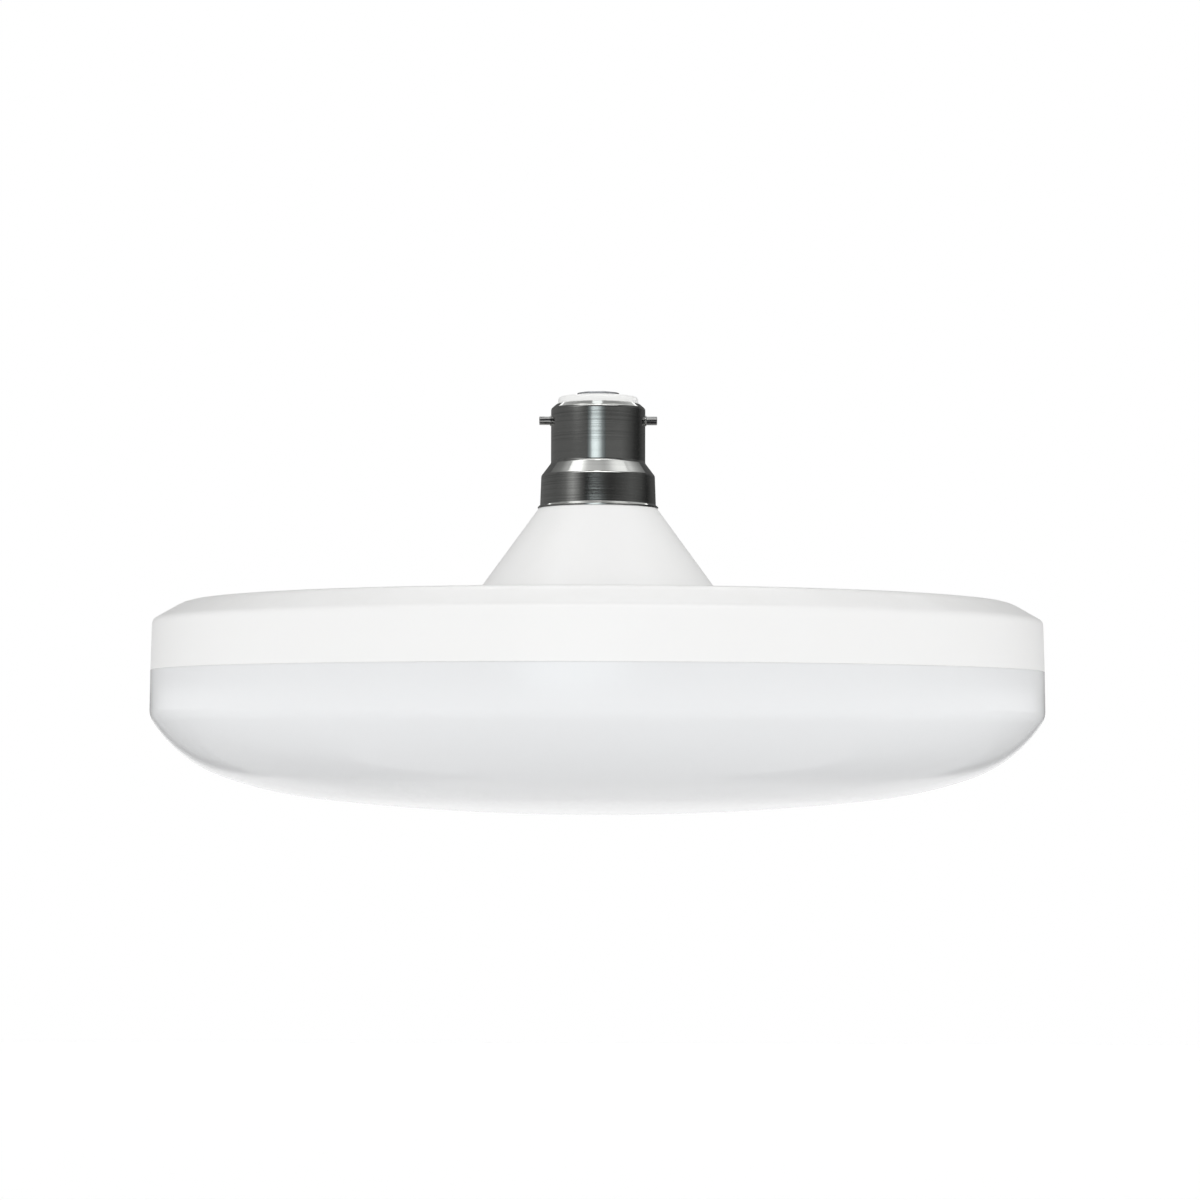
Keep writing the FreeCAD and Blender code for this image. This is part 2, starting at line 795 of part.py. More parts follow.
def dome_joints(radius, level):
    """Centres, angles and radii of the dome's four arcs, from the side wall to the middle.
    Each arc starts where the one before ends, in the same direction, and the last arc's
    radius brings it level on the axis."""
    angles = [s.corner_angle, s.knuckle_angle, s.crown_angle]
    radii = [s.corner_radius, s.knuckle_radius, s.crown_radius]
    sines = [sine(angle) for angle in angles]
    spans = [as_size(1.0) - sines[0], sines[0] - sines[1], sines[1] - sines[2]]
    remaining = radius
    for arc_radius, span in zip(radii, spans):
        remaining = remaining - arc_radius * span
    radii.append(remaining / sine(angles[2]))
    centres = [(radius - radii[0], level)]
    for arc, angle in enumerate(angles):
        shift = radii[arc] - radii[arc + 1]
        x, z = centres[-1]
        centres.append((x + shift * sine(angle), z - shift * cosine(angle)))
    return centres, angles, radii


def make_diffuser():
    body = new_body("diffuser")
    wall = s.diffuser_wall
    radius = rim_foot_radius + s.diffuser_taper
    side_end = seam - s.diffuser_side
    centres, angles, radii = dome_joints(radius, side_end)
    outer = []
    inner = []
    for (x, z), angle, arc_radius in zip(centres, angles, radii):
        inner_radius = arc_radius - wall
        outer.append((x + arc_radius * sine(angle), z - arc_radius * cosine(angle), -arc_radius))
        inner.append((x + inner_radius * sine(angle), z - inner_radius * cosine(angle), arc_radius))
    bottom = centres[-1][1] - radii[-1]
    outer.append((ZERO, bottom, -radii[-1]))
    inner_start = [(ZERO, bottom + wall)]
    inner_back = []
    for number in (2, 1, 0):
        x, z, _ = inner[number]
        inner_back.append((x, z, radii[number + 1] - wall))
    inner_back.append((radius - wall, side_end, radii[0] - wall))
    dome = turn(body, "Dome", [
        (tongue_outside, seam + s.tongue_height),
        (tongue_outside, seam),
        (rim_foot_radius - s.seam_chamfer, seam),
        (rim_foot_radius, seam - s.seam_chamfer),
        (radius, side_end),
        *outer,
        *inner_start,
        *inner_back,
        (radius - wall, seam - s.tongue_root - s.tongue_blend),
        (tongue_inside, seam - s.tongue_root),
        (tongue_inside, seam + s.tongue_height),
    ])
    hook_low = snap_low + s.hook_gap
    hook_high = snap_high - s.hook_gap
    hook_root = tongue_outside - s.tongue_wall / 2
    profile = new_sketch(body, "HookProfile", "XZ_Plane")
    draw_outline(profile, [
        (hook_root, hook_low),
        (tongue_outside + s.hook_reach, hook_low),
        (tongue_outside + s.hook_reach, hook_low + s.hook_face),
        (tongue_outside, hook_high),
        (hook_root, hook_high),
    ])
    hook = body.newObject("PartDesign::Revolution", "Hook")
    hook.Profile = profile
    hook.ReferenceAxis = (profile, ["V_Axis"])
    bind(hook, "Angle", s.hook_angle)
    hook.Midplane = True
    finished(body, hook)
    ring(body, "Hooks", [hook], s.hook_count)
    return body


# Heat spreader: pressed disc with a turned-up edge

def make_heat_spreader():
    body = new_body("heat_spreader")
    wall = s.spreader_wall
    edge_top = spreader_top + s.spreader_edge
    disc = turn(body, "Pressing", [
        (s.spreader_hole, board_top),
        (spreader_radius, board_top),
        (spreader_radius, edge_top),
        (spreader_radius - wall, edge_top),
        (spreader_radius - wall, spreader_top),
        (s.spreader_hole, spreader_top),
    ])
    inner_bend = ring_edges(disc.Shape, [(spreader_radius - wall, spreader_top)])
    bent = round_off(body, "InnerBend", disc, inner_bend, s.spreader_bend)
    outer_bend = ring_edges(bent.Shape, [(spreader_radius, board_top)])
    round_off(body, "OuterBend", bent, outer_bend, s.spreader_bend + wall)
    add_screw_holes(body, board_screw_ring, s.board_screw_radius, s.board_boss_count)
    return body


def add_screw_holes(body, ring_radius, screw_radius, count):
    """A ring of clearance holes for screws."""
    hole_round = new_sketch(body, "ScrewHoleRound", "XY_Plane")
    draw_circle(hole_round, ring_radius, ZERO, screw_radius + s.screw_clearance)
    hole = drill(body, "ScrewHole", hole_round)
    ring(body, "ScrewHoles", [hole], count)


# Insulating sheet: lies on the heat spreader, under the driver board

def make_insulating_sheet():
    body = new_body("insulating_sheet")
    outline = new_sketch(body, "SheetOutline", "XY_Plane", spreader_top)
    draw_circle(outline, ZERO, ZERO, s.driver_board_radius + s.sheet_margin)
    draw_circle(outline, ZERO, ZERO, s.sheet_hole)
    pad(body, "Sheet", outline, s.sheet_wall)
    return body


# LED board: round metal-core board, held against the heat spreader by its screws

def make_led_board():
    body = new_body("led_board")
    outline = new_sketch(body, "BoardOutline", "XY_Plane", board_under)
    draw_circle(outline, ZERO, ZERO, board_radius)
    draw_circle(outline, ZERO, ZERO, s.board_hole)
    pad(body, "Board", outline, s.board_wall)
    add_screw_holes(body, board_screw_ring, s.board_screw_radius, s.board_boss_count)
    return body


# LED packages: a ring of white frames, each with a well, and the phosphor that fills the wells

def make_led_frames(label, ring_radius, count):
    body = new_body(label)
    outline = new_sketch(body, "FrameOutline", "XY_Plane", board_under)
    draw_outline(outline, rectangle(ring_radius, ZERO, s.led_length, s.led_width))
    frame = pad(body, "Frame", outline, s.led_height, upward=False)
    window = new_sketch(body, "WellOutline", "XY_Plane", board_under - s.led_height)
    draw_outline(window, led_window(ring_radius))
    well = pocket(body, "Well", window, s.led_well)
    ring(body, "Ring", [frame, well], count)
    return body


def make_led_phosphor(label, ring_radius, count):
    body = new_body(label)
    window = new_sketch(body, "WellOutline", "XY_Plane", board_under - s.led_height)
    draw_outline(window, led_window(ring_radius))
    filling = pad(body, "Filling", window, s.led_well)
    ring(body, "Ring", [filling], count)
    return body


def led_window(ring_radius):
    length = s.led_length - s.led_frame * 2
    width = s.led_width - s.led_frame * 2
    return rectangle(ring_radius, ZERO, length, width)


# Screws: pan head below, shank up through the board and into its boss

def make_screw(label, ring_radius, angle, seat, radius, length, head_radius, head_height):
    body = new_body(label)
    shank_tip = radius / 2
    screw = turn(body, "Screw", [
        (ZERO, -head_height),
        (head_radius, -head_height),
        (head_radius, ZERO),
        (radius, ZERO),
        (radius, length - shank_tip),
        (radius - shank_tip, length),
        (ZERO, length),
    ])
    head_edge = ring_edges(screw.Shape, [(head_radius, -head_height)])
    round_off(body, "HeadEdge", screw, head_edge, head_height / 2)
    place(body, ring_radius * cosine(angle), ring_radius * sine(angle), seat)
    return body


# Driver board: round board on its bosses, drilled for screws, legs, pins and wires

def leg_spots(pitch):
    """Two legs on a line through the middle of a component, along X."""
    return [(-pitch / 2, ZERO), (pitch / 2, ZERO)]


def turned_spots(spots):
    """The same legs on a line along Y."""
    return [(y, x) for x, y in spots]


def bobbin_spots():
    x = s.core_width / 2 - s.bobbin_rail_width / 2
    y = rail_middle()
    return [(-x, -y), (x, -y), (x, y), (-x, y)]


def rail_middle():
    return s.core_depth / 2 + s.bobbin_gap + s.bobbin_rail_width / 2


def board_holes():
    """Centres of the holes for legs, from each component's place and its own leg spots."""
    groups = [
        (s.bulk_x, s.bulk_y, leg_spots(s.bulk_pitch)),
        (s.output_x, s.output_y, leg_spots(s.output_pitch)),
        (s.film_x, s.film_y, turned_spots(leg_spots(s.film_pitch))),
        (s.varistor_x, s.varistor_y, turned_spots(leg_spots(s.varistor_pitch))),
        (s.resistor_x, s.resistor_y, leg_spots(s.resistor_pitch)),
        (s.transformer_x, s.transformer_y, bobbin_spots()),
    ]
    return [(x + leg_x, y + leg_y) for x, y, spots in groups for leg_x, leg_y in spots]


def make_driver_board():
    body = new_body("driver_board")
    outline = new_sketch(body, "BoardOutline", "XY_Plane", driver_board_under)
    draw_circle(outline, ZERO, ZERO, s.driver_board_radius)
    pad(body, "Board", outline, s.driver_board_wall)
    holes = new_sketch(body, "LegHoleRounds", "XY_Plane")
    for x, y in board_holes():
        draw_circle(holes, x, y, leg_hole)
    for side in (-1, 1):
        draw_circle(holes, s.output_pin_spacing / 2 * side, ZERO, output_pin_hole)
        draw_circle(holes, ZERO, s.wire_reach * side, wire_bore)
    drill(body, "LegHoles", holes)
    add_screw_holes(body, driver_screw_ring, s.driver_screw_radius, s.driver_boss_count)
    return body


def add_legs(body, spots, level):
    """Legs from a level inside the component, down through the board and out below it."""
    rounds = new_sketch(body, "LegRounds", "XY_Plane", level)
    for x, y in spots:
        draw_circle(rounds, x, y, s.leg_radius)
    pad(body, "Legs", rounds, level + s.driver_board_wall + s.leg_end, upward=False)


# Electrolytic capacitor: a can with a crimp near its base

def make_capacitor(label, x, y, radius, height, pitch):
    body = new_body(label)
    waist = radius - s.crimp_depth
    crimp_top = s.crimp_height + s.crimp_width
    can = turn(body, "Can", [
        (ZERO, ZERO),
        (radius, ZERO),
        (radius, s.crimp_height),
        (waist, s.crimp_height + s.crimp_width / 2),
        (radius, crimp_top),
        (radius, height),
        (ZERO, height),
    ])
    top = ring_edges(can.Shape, [(radius, height)])
    round_off(body, "CanEdge", can, top, s.can_round)
    add_legs(body, leg_spots(pitch), s.crimp_height)
    place(body, x, y, driver_board_top)
    return body


# Film capacitor: a potted box on two legs

def make_film_capacitor():
    body = new_body("film_capacitor")
    outline = new_sketch(body, "BoxOutline", "XY_Plane")
    draw_outline(outline, rectangle(ZERO, ZERO, s.film_width, s.film_length))
    box = pad(body, "Box", outline, s.film_height)
    round_off(body, "BoxEdges", box, upright_edges(box.Shape), s.film_round)
    add_legs(body, turned_spots(leg_spots(s.film_pitch)), s.film_height / 2)
    place(body, s.film_x, s.film_y, driver_board_top)
    return body


# Varistor: a coated disc that stands on edge

def make_varistor():
    body = new_body("varistor")
    middle = s.varistor_radius + s.varistor_lift
    outline = new_sketch(body, "DiscOutline", "YZ_Plane", -s.varistor_wall / 2)
    draw_circle(outline, ZERO, middle, s.varistor_radius)
    disc = pad(body, "Disc", outline, s.varistor_wall)
    rims = [f"Edge{number}" for number, edge in enumerate(disc.Shape.Edges, start=1)
            if isinstance(edge.Curve, Part.Circle)]
    round_off(body, "DiscEdges", disc, rims, s.varistor_round)
    add_legs(body, turned_spots(leg_spots(s.varistor_pitch)), middle)
    place(body, s.varistor_x, s.varistor_y, driver_board_top)
    return body


# Fusible resistor: lies along X, with its leads bent down into the board

def make_resistor():
    body = new_body("fusible_resistor")
    half = s.resistor_length / 2
    waist_end = half - s.resistor_cap
    level = s.resistor_radius + s.resistor_lift
    outline = new_sketch(body, "BodyProfile", "XZ_Plane")
    draw_outline(outline, [
        (-half, level),
        (-half, level + s.resistor_radius),
        (-waist_end, level + s.resistor_radius),
        (-waist_end, level + s.resistor_waist),
        (waist_end, level + s.resistor_waist),
        (waist_end, level + s.resistor_radius),
        (half, level + s.resistor_radius),
        (half, level),
    ])
    spindle = body.newObject("PartDesign::Revolution", "Spindle")
    spindle.Profile = outline
    spindle.ReferenceAxis = (outline, ["Edge8"])
    spindle.Angle = 360.0
    finished(body, spindle)
    lead_end = new_sketch(body, "LeadRound", "YZ_Plane", -(s.resistor_pitch / 2 + s.leg_radius))
    draw_circle(lead_end, ZERO, level, s.leg_radius)
    pad(body, "Lead", lead_end, s.resistor_pitch + s.leg_radius * 2)
    add_legs(body, leg_spots(s.resistor_pitch), level)
    place(body, s.resistor_x, s.resistor_y, driver_board_top)
    return body


# Flat packages with feet: the bridge rectifier and the driver chip

def make_package(label, x, y, length, width, height, feet, pitch):
    body = new_body(label)
    outline = new_sketch(body, "CaseOutline", "XY_Plane", s.package_lift)
    draw_outline(outline, rectangle(ZERO, ZERO, length, width))
    pad(body, "Case", outline, height)
    reach = width / 2 + s.foot_reach
    inner = reach - s.foot_wall * 3
    wall = s.foot_wall
    rise = s.foot_rise
    for side in (-1, 1):
        name = "Front" if side < 0 else "Rear"
        profile = new_sketch(body, name + "FootProfile", "YZ_Plane", -pitch * (feet - 1) / 2)
        foot_outline = [
            (width / 2 - wall, rise),
            (inner - wall, rise),
            (inner - wall, ZERO),
            (reach, ZERO),
            (reach, wall),
            (inner, wall),
            (inner, rise + wall),
            (width / 2 - wall, rise + wall),
        ]
        draw_outline(profile, [(y_part * side, z_part) for y_part, z_part in foot_outline])
        foot = body.newObject("PartDesign::Pad", name + "Foot")
        foot.Profile = profile
        foot.SideType = "Symmetric"
        bind(foot, "Length", s.foot_width)
        finished(body, foot)
        row = body.newObject("PartDesign::LinearPattern", name + "Feet")
        row.Originals = [foot]
        row.Direction = (origin_item(body, "X_Axis"), [""])
        row.Occurrences = feet
        bind(row, "Length", pitch * (feet - 1))
        finished(body, row)
    place(body, x, y, driver_board_top)
    return body


# Transformer: a moulded bobbin on four legs, its winding, and a ferrite core through it

def bobbin_levels():
    """Heights of the lower flange, the winding, the upper flange and the bobbin's top."""
    flange = s.bobbin_rail
    winding = flange + s.bobbin_flange
    upper = winding + s.winding_height
    top = upper + s.bobbin_flange
    return flange, winding, upper, top


def make_bobbin():
    body = new_body("transformer_bobbin")
    flange_level, winding_level, upper_level, top = bobbin_levels()
    bore = s.core_pole + s.bobbin_gap
    tube = bore + s.bobbin_tube
    flange_half = s.core_width / 2 - s.core_limb - s.bobbin_gap
    flange_depth = s.core_depth + (s.bobbin_gap + s.bobbin_rail_width) * 2
    rails = new_sketch(body, "RailOutlines", "XY_Plane")
    for side in (-1, 1):
        draw_outline(rails, rectangle(ZERO, rail_middle() * side, s.core_width, s.bobbin_rail_width))
    pad(body, "Rails", rails, s.bobbin_rail)
    lower = new_sketch(body, "LowerFlangeOutline", "XY_Plane", flange_level)
    draw_outline(lower, rectangle(ZERO, ZERO, flange_half * 2, flange_depth))
    pad(body, "LowerFlange", lower, s.bobbin_flange)
    barrel = new_sketch(body, "TubeRound", "XY_Plane", winding_level)
    draw_circle(barrel, ZERO, ZERO, tube)
    pad(body, "Tube", barrel, s.winding_height)
    upper = new_sketch(body, "UpperFlangeOutline", "XY_Plane", upper_level)
    draw_outline(upper, rectangle(ZERO, ZERO, flange_half * 2, flange_depth))
    pad(body, "UpperFlange", upper, s.bobbin_flange)
    hole = new_sketch(body, "BoreRound", "XY_Plane", flange_level)
    draw_circle(hole, ZERO, ZERO, bore)
    pocket(body, "Bore", hole, top - flange_level)
    add_legs(body, bobbin_spots(), s.bobbin_rail / 2)
    place(body, s.transformer_x, s.transformer_y, driver_board_top)
    return body


def make_winding():
    body = new_body("transformer_winding")
    winding_level = bobbin_levels()[1]
    tube = s.core_pole + s.bobbin_gap + s.bobbin_tube
    turn(body, "Winding", [
        (tube, winding_level),
        (tube + s.winding_wall, winding_level),
        (tube + s.winding_wall, winding_level + s.winding_height),
        (tube, winding_level + s.winding_height),
    ])
    place(body, s.transformer_x, s.transformer_y, driver_board_top)
    return body


def make_core():
    body = new_body("transformer_core")
    flange_level, _, _, top = bobbin_levels()
    window_low = flange_level - s.bobbin_gap
    window_high = top + s.bobbin_gap
    window_half = s.core_width / 2 - s.core_limb
    low = window_low - s.core_yoke
    high = window_high + s.core_yoke
    outline = new_sketch(body, "LoopOutline", "XZ_Plane")
    draw_outline(outline, rectangle(ZERO, (low + high) / 2, s.core_width, high - low))
    window_height = window_high - window_low
    draw_outline(outline, rectangle(ZERO, (window_low + window_high) / 2, window_half * 2, window_height))
    loop = body.newObject("PartDesign::Pad", "Loop")
    loop.Profile = outline
    loop.SideType = "Symmetric"
    bind(loop, "Length", s.core_depth)
    finished(body, loop)
    pole = new_sketch(body, "PoleRound", "XY_Plane", window_low)
    draw_circle(pole, ZERO, ZERO, s.core_pole)
    pad(body, "Pole", pole, window_high - window_low)
    place(body, s.transformer_x, s.transformer_y, driver_board_top)
    return body


# Output pins, their header under the driver board and their socket on the LED board

def make_output_pin(label, side):
    body = new_body(label)
    top = driver_board_top + s.output_pin_top
    rounds = new_sketch(body, "PinRound", "XY_Plane", top)
    draw_circle(rounds, s.output_pin_spacing / 2 * side, ZERO, s.output_pin_radius)
    pad(body, "Pin", rounds, top - board_under + s.socket_height, upward=False)
    return body


def make_pin_block(label, level, length, width, height):
    """A block under a level, with a hole for each output pin."""
    body = new_body(label)
    outline = new_sketch(body, "BlockOutline", "XY_Plane", level)
    draw_outline(outline, rectangle(ZERO, ZERO, length, width))
    for side in (-1, 1):
        draw_circle(outline, s.output_pin_spacing / 2 * side, ZERO, output_pin_hole)
    block = pad(body, "Block", outline, height, upward=False)
    return body, block


def make_header():
    body, _ = make_pin_block(
        "output_header", driver_board_under, s.header_length, s.header_width, s.header_height)
    return body


def make_socket():
    body, block = make_pin_block(
        "output_socket", board_under, s.socket_length, s.socket_width, s.socket_height)
    round_off(body, "BlockEdges", block, upright_edges(block.Shape), s.socket_round)
    return body


# Wires: round tubes on straight runs and tangent arcs, from a contact's stem to the driver board

def tube(points, radius):
    """A tube along the points. Each turn is an arc as large as its two runs allow."""
    edges = []
    start = points[0]
    for before, point, after in zip(points, points[1:], points[2:]):
        arriving = (point - before).normalize()
        leaving = (after - point).normalize()
        turn_angle = arriving.getAngle(leaving)
        reach = 0.45 * min((point - before).Length, (after - point).Length)
        bend = reach / math.tan(turn_angle / 2)
        first = point - arriving * reach
        last = point + leaving * reach
        inward = (leaving - arriving).normalize()
        centre = point + inward * (bend / math.cos(turn_angle / 2))
        middle = centre - inward * bend
        edges.append(Part.LineSegment(start, first).toShape())
        edges.append(Part.Arc(first, middle, last).toShape())
        start = last
        print(f"wire bend radius {bend:.1f} mm")
    edges.append(Part.LineSegment(start, points[-1]).toShape())
    path = Part.Wire(edges)
    section = Part.Wire(Part.Circle(points[0], points[1] - points[0], radius).toShape())
    solid = path.makePipeShell([section], True, False)
    expected = math.pi * radius ** 2 * path.Length
    assert abs(solid.Volume / expected - 1) < 0.01, "the tube's volume doesn't match its length"
    return solid


def make_wire(label, side, lean):
    wire = doc.addObject("Part::Feature", label)
    wire.Label = label
    stem_foot = shoulder_foot - s.flange_side - s.tower_length - s.stem_end
    sway = s.wire_sway.value * lean
    contact_y = s.contact_spacing.value / 2
    bow_y = spigot_bore.value - s.wire_side.value
    end_y = s.wire_reach.value
    foot = stem_foot.value
    board = driver_board_top.value
    start_height = foot + s.stem_bore_depth.value - s.wire_end.value
    points = [
        FreeCAD.Vector(0.0, contact_y * side, start_height),
        FreeCAD.Vector(0.0, contact_y * side, foot - s.wire_exit.value),
        FreeCAD.Vector(-sway, bow_y * side, foot - s.wire_drop.value),
        FreeCAD.Vector(-sway / 2, (end_y - s.wire_inset.value) * side, board + s.wire_rise.value),
        FreeCAD.Vector(0.0, end_y * side, board + s.wire_stand.value),
        FreeCAD.Vector(0.0, end_y * side, driver_board_under.value - s.wire_end.value),
    ]
    wire.Shape = tube(points, s.wire_radius.value)
    wire.Placement = FreeCAD.Placement()
    return wire


def build():
    parts = [
        make_cap_shell(),
        make_bayonet_pin("bayonet_pin_left", -1),
        make_bayonet_pin("bayonet_pin_right", 1),
        make_insulator(),
        make_contact("contact_front", -1),
        make_contact("contact_rear", 1),
        make_housing(),
        make_diffuser(),
        make_heat_spreader(),
        make_insulating_sheet(),
        make_led_board(),
    ]
    rings = [
        ("outer", led_ring_outer, s.led_count_outer),
        ("middle", led_ring_middle, s.led_count_middle),
        ("inner", led_ring_inner, s.led_count_inner),
    ]
    for name, radius, count in rings:
        parts.append(make_led_frames(f"led_frames_{name}", radius, count))
        parts.append(make_led_phosphor(f"led_phosphor_{name}", radius, count))
    screw_rings = [
        ("board_screw", board_screw_ring, s.board_boss_count, board_under, s.board_screw_radius,
         s.board_screw_length, s.board_head_radius, s.board_head_height),
        ("driver_screw", driver_screw_ring, s.driver_boss_count, driver_board_under,
         s.driver_screw_radius, s.driver_screw_length, s.driver_head_radius, s.driver_head_height),
    ]
    for name, radius, count, *fit in screw_rings:
        for number in range(int(count.value)):
            angle = as_size(360.0) / count * number
            parts.append(make_screw(f"{name}_{number + 1}", radius, angle, *fit))
    parts += [
        make_driver_board(),
        make_capacitor("bulk_capacitor", s.bulk_x, s.bulk_y, s.bulk_radius, s.bulk_height, s.bulk_pitch),
        make_capacitor("output_capacitor", s.output_x, s.output_y, s.output_radius, s.output_height,
                       s.output_pitch),
        make_film_capacitor(),
        make_varistor(),
        make_resistor(),
        make_package("bridge_rectifier", s.rectifier_x, s.rectifier_y, s.rectifier_length,
                     s.rectifier_width, s.rectifier_height, 2, s.rectifier_pitch),
        make_package("driver_chip", s.chip_x, s.chip_y, s.chip_length, s.chip_width, s.chip_height,
                     4, s.chip_pitch),
        make_bobbin(),
        make_winding(),
        make_core(),
        make_output_pin("output_pin_negative", -1),
        make_output_pin("output_pin_positive", 1),
        make_header(),
        make_socket(),
        make_wire("live_wire", -1, 1.0),
        make_wire("neutral_wire", 1, -0.7),
    ]
    return parts


parts = build()
doc.recompute()

# Every object is up to date and every sub-part is a valid shape before anything is written
for item in doc.Objects:
    assert not {"Invalid", "Error"} & set(item.State), f"{item.Name} is {item.State}"
for part in parts:
    assert not part.Shape.isNull(), f"{part.Label} has no shape"
    assert part.Shape.isValid(), f"{part.Label} is not valid"

os.makedirs("parts", exist_ok=True)
for part in parts:
    part.Shape.exportStep(f"parts/{part.Label}.step")
    print(f"{part.Label}: {len(part.Shape.Solids)} solid, {part.Shape.Volume:.1f} mm3")
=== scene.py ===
import json
import math

import bmesh
import bpy
import numpy as np
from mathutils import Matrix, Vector


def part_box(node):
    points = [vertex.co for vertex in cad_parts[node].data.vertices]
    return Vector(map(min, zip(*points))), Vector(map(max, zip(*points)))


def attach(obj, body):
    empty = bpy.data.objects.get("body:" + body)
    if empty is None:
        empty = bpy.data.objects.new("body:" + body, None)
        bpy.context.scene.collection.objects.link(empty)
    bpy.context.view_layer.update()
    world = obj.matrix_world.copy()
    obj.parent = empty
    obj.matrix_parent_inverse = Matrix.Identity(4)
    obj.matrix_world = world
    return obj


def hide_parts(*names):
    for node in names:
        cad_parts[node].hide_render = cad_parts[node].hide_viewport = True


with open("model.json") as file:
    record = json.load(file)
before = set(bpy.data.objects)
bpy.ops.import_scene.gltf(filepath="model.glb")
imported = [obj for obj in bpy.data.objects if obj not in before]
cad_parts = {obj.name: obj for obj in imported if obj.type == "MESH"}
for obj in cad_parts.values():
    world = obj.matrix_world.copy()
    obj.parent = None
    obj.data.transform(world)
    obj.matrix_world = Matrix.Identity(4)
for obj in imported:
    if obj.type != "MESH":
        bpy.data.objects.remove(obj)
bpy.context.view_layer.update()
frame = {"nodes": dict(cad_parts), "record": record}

MM = 0.001
SCENE = bpy.context.scene


# Helpers for surfaces
SHARP_BEND = 1.3    # a bend under this many millimetres counts as an edge that wears
LEG_SHARE = 0.45    # an arc and the point beside it take up to this share of a leg
LEAST_SPARE = 0.01  # below this many millimetres no point is put beside an arc
SAME_POINT = 1e-7   # points nearer than this many metres are merged


def rounded(corners, step=15.0, hold=0.15, closed=True):
    """Points of a path in a half plane from (radius, height, bend) corners, in millimetres.
    Formula: each corner gives way to an arc of its bend, tangent to both of its legs, in equal
    turns of at most step degrees, with one more point on each leg, hold away from the arc, which
    keeps the face beside it flat. The second result is 1 on sharp bends and 0 elsewhere."""
    path = [np.array(corner[:2], float) for corner in corners]
    points = []
    edge = []
    for place, corner in enumerate(corners):
        point = path[place]
        bend = corner[2] if len(corner) > 2 else 0.0
        at_end = not closed and place in (0, len(corners) - 1)
        if at_end or bend == 0.0:
            points.append(point[None])
            edge.append(np.zeros(1))
            continue
        back = path[place - 1] - point
        ahead = path[(place + 1) % len(path)] - point
        reach = min(np.hypot(*back), np.hypot(*ahead))
        back = back / np.hypot(*back)
        ahead = ahead / np.hypot(*ahead)
        opening = math.acos(float(np.clip(back @ ahead, -1.0, 1.0)))
        cut = bend / math.tan(opening / 2)
        towards = (back + ahead) / np.hypot(*(back + ahead))
        centre = point + towards * bend / math.sin(opening / 2)
        spoke = point + back * cut - centre
        turn = math.pi - opening
        side = 1.0 if back[0] * ahead[1] - back[1] * ahead[0] < 0 else -1.0
        angles = side * np.linspace(0.0, turn, max(2, math.ceil(math.degrees(turn) / step) + 1))
        arc = centre + np.stack([
            spoke[0] * np.cos(angles) - spoke[1] * np.sin(angles),
            spoke[0] * np.sin(angles) + spoke[1] * np.cos(angles),
        ], axis=1)
        spare = min(hold, max(reach * LEG_SHARE - cut, 0.0))
        before = [point + back * (cut + spare)] if spare > LEAST_SPARE else []
        after = [point + ahead * (cut + spare)] if spare > LEAST_SPARE else []
        points.append(np.array([*before, *arc, *after]))
        sharp = 1.0 if bend < SHARP_BEND else 0.0
        edge.append(np.array([0.0] * len(before) + [sharp] * len(arc) + [0.0] * len(after)))
    return np.concatenate(points), np.concatenate(edge)


def subdivided(points, edge, longest, closed=True):
    """The same path with extra points, equally spaced, on every stretch longer than longest."""
    rows = []
    values = []
    count = len(points) if closed else len(points) - 1
    for place in range(count):
        following = (place + 1) % len(points)
        start, end = points[place], points[following]
        pieces = max(1, math.ceil(np.hypot(*(end - start)) / longest))
        share = np.arange(pieces) / pieces
        rows.append(start + (end - start) * share[:, None])
        values.append(edge[place] * (1 - share) + edge[following] * share)
    if not closed:
        rows.append(points[-1:])
        values.append(edge[-1:])
    return np.concatenate(rows), np.concatenate(values)


def lathe(path, edge, around, axis="Z", first=0.0, last=360.0, closed=True):
    """A path turned about an axis. Formula: the point at radius r and height h goes to
    (r cos a, r sin a, h) for angles a from first to last, and about X to (h, r cos a, r sin a)."""
    whole = last - first >= 360.0
    angles = np.radians(np.linspace(first, last, around, endpoint=not whole))
    radius, height = path[:, 0][:, None], path[:, 1][:, None]
    across = radius * np.cos(angles)
    along = radius * np.sin(angles)
    upright = height + np.zeros_like(across)
    parts = [across, along, upright] if axis == "Z" else [upright, across, along]
    grid = np.stack(parts, axis=2)
    return grid, np.broadcast_to(edge[:, None], across.shape), closed, whole


def faces_of(rows, columns, rows_closed, columns_closed, start):
    """Corner numbers of a grid's quads. Formula: quad (i, j) joins i and i + 1 with j and j + 1,
    and the last row or column joins the first where the grid is closed that way."""
    i = np.arange(rows if rows_closed else rows - 1)[:, None]
    j = np.arange(columns if columns_closed else columns - 1)[None, :]
    i_next = (i + 1) % rows
    j_next = (j + 1) % columns
    quads = np.stack([
        i * columns + j,
        i_next * columns + j,
        i_next * columns + j_next,
        i * columns + j_next,
    ], axis=2)
    return quads.reshape(-1, 4) + start


def caps_of(rows, columns, start):
    """The two flat ends of a part-turned closed path: its first and last columns as faces."""
    column = np.arange(rows) * columns + start
    return [column.tolist(), (column + columns - 1)[::-1].tolist()]


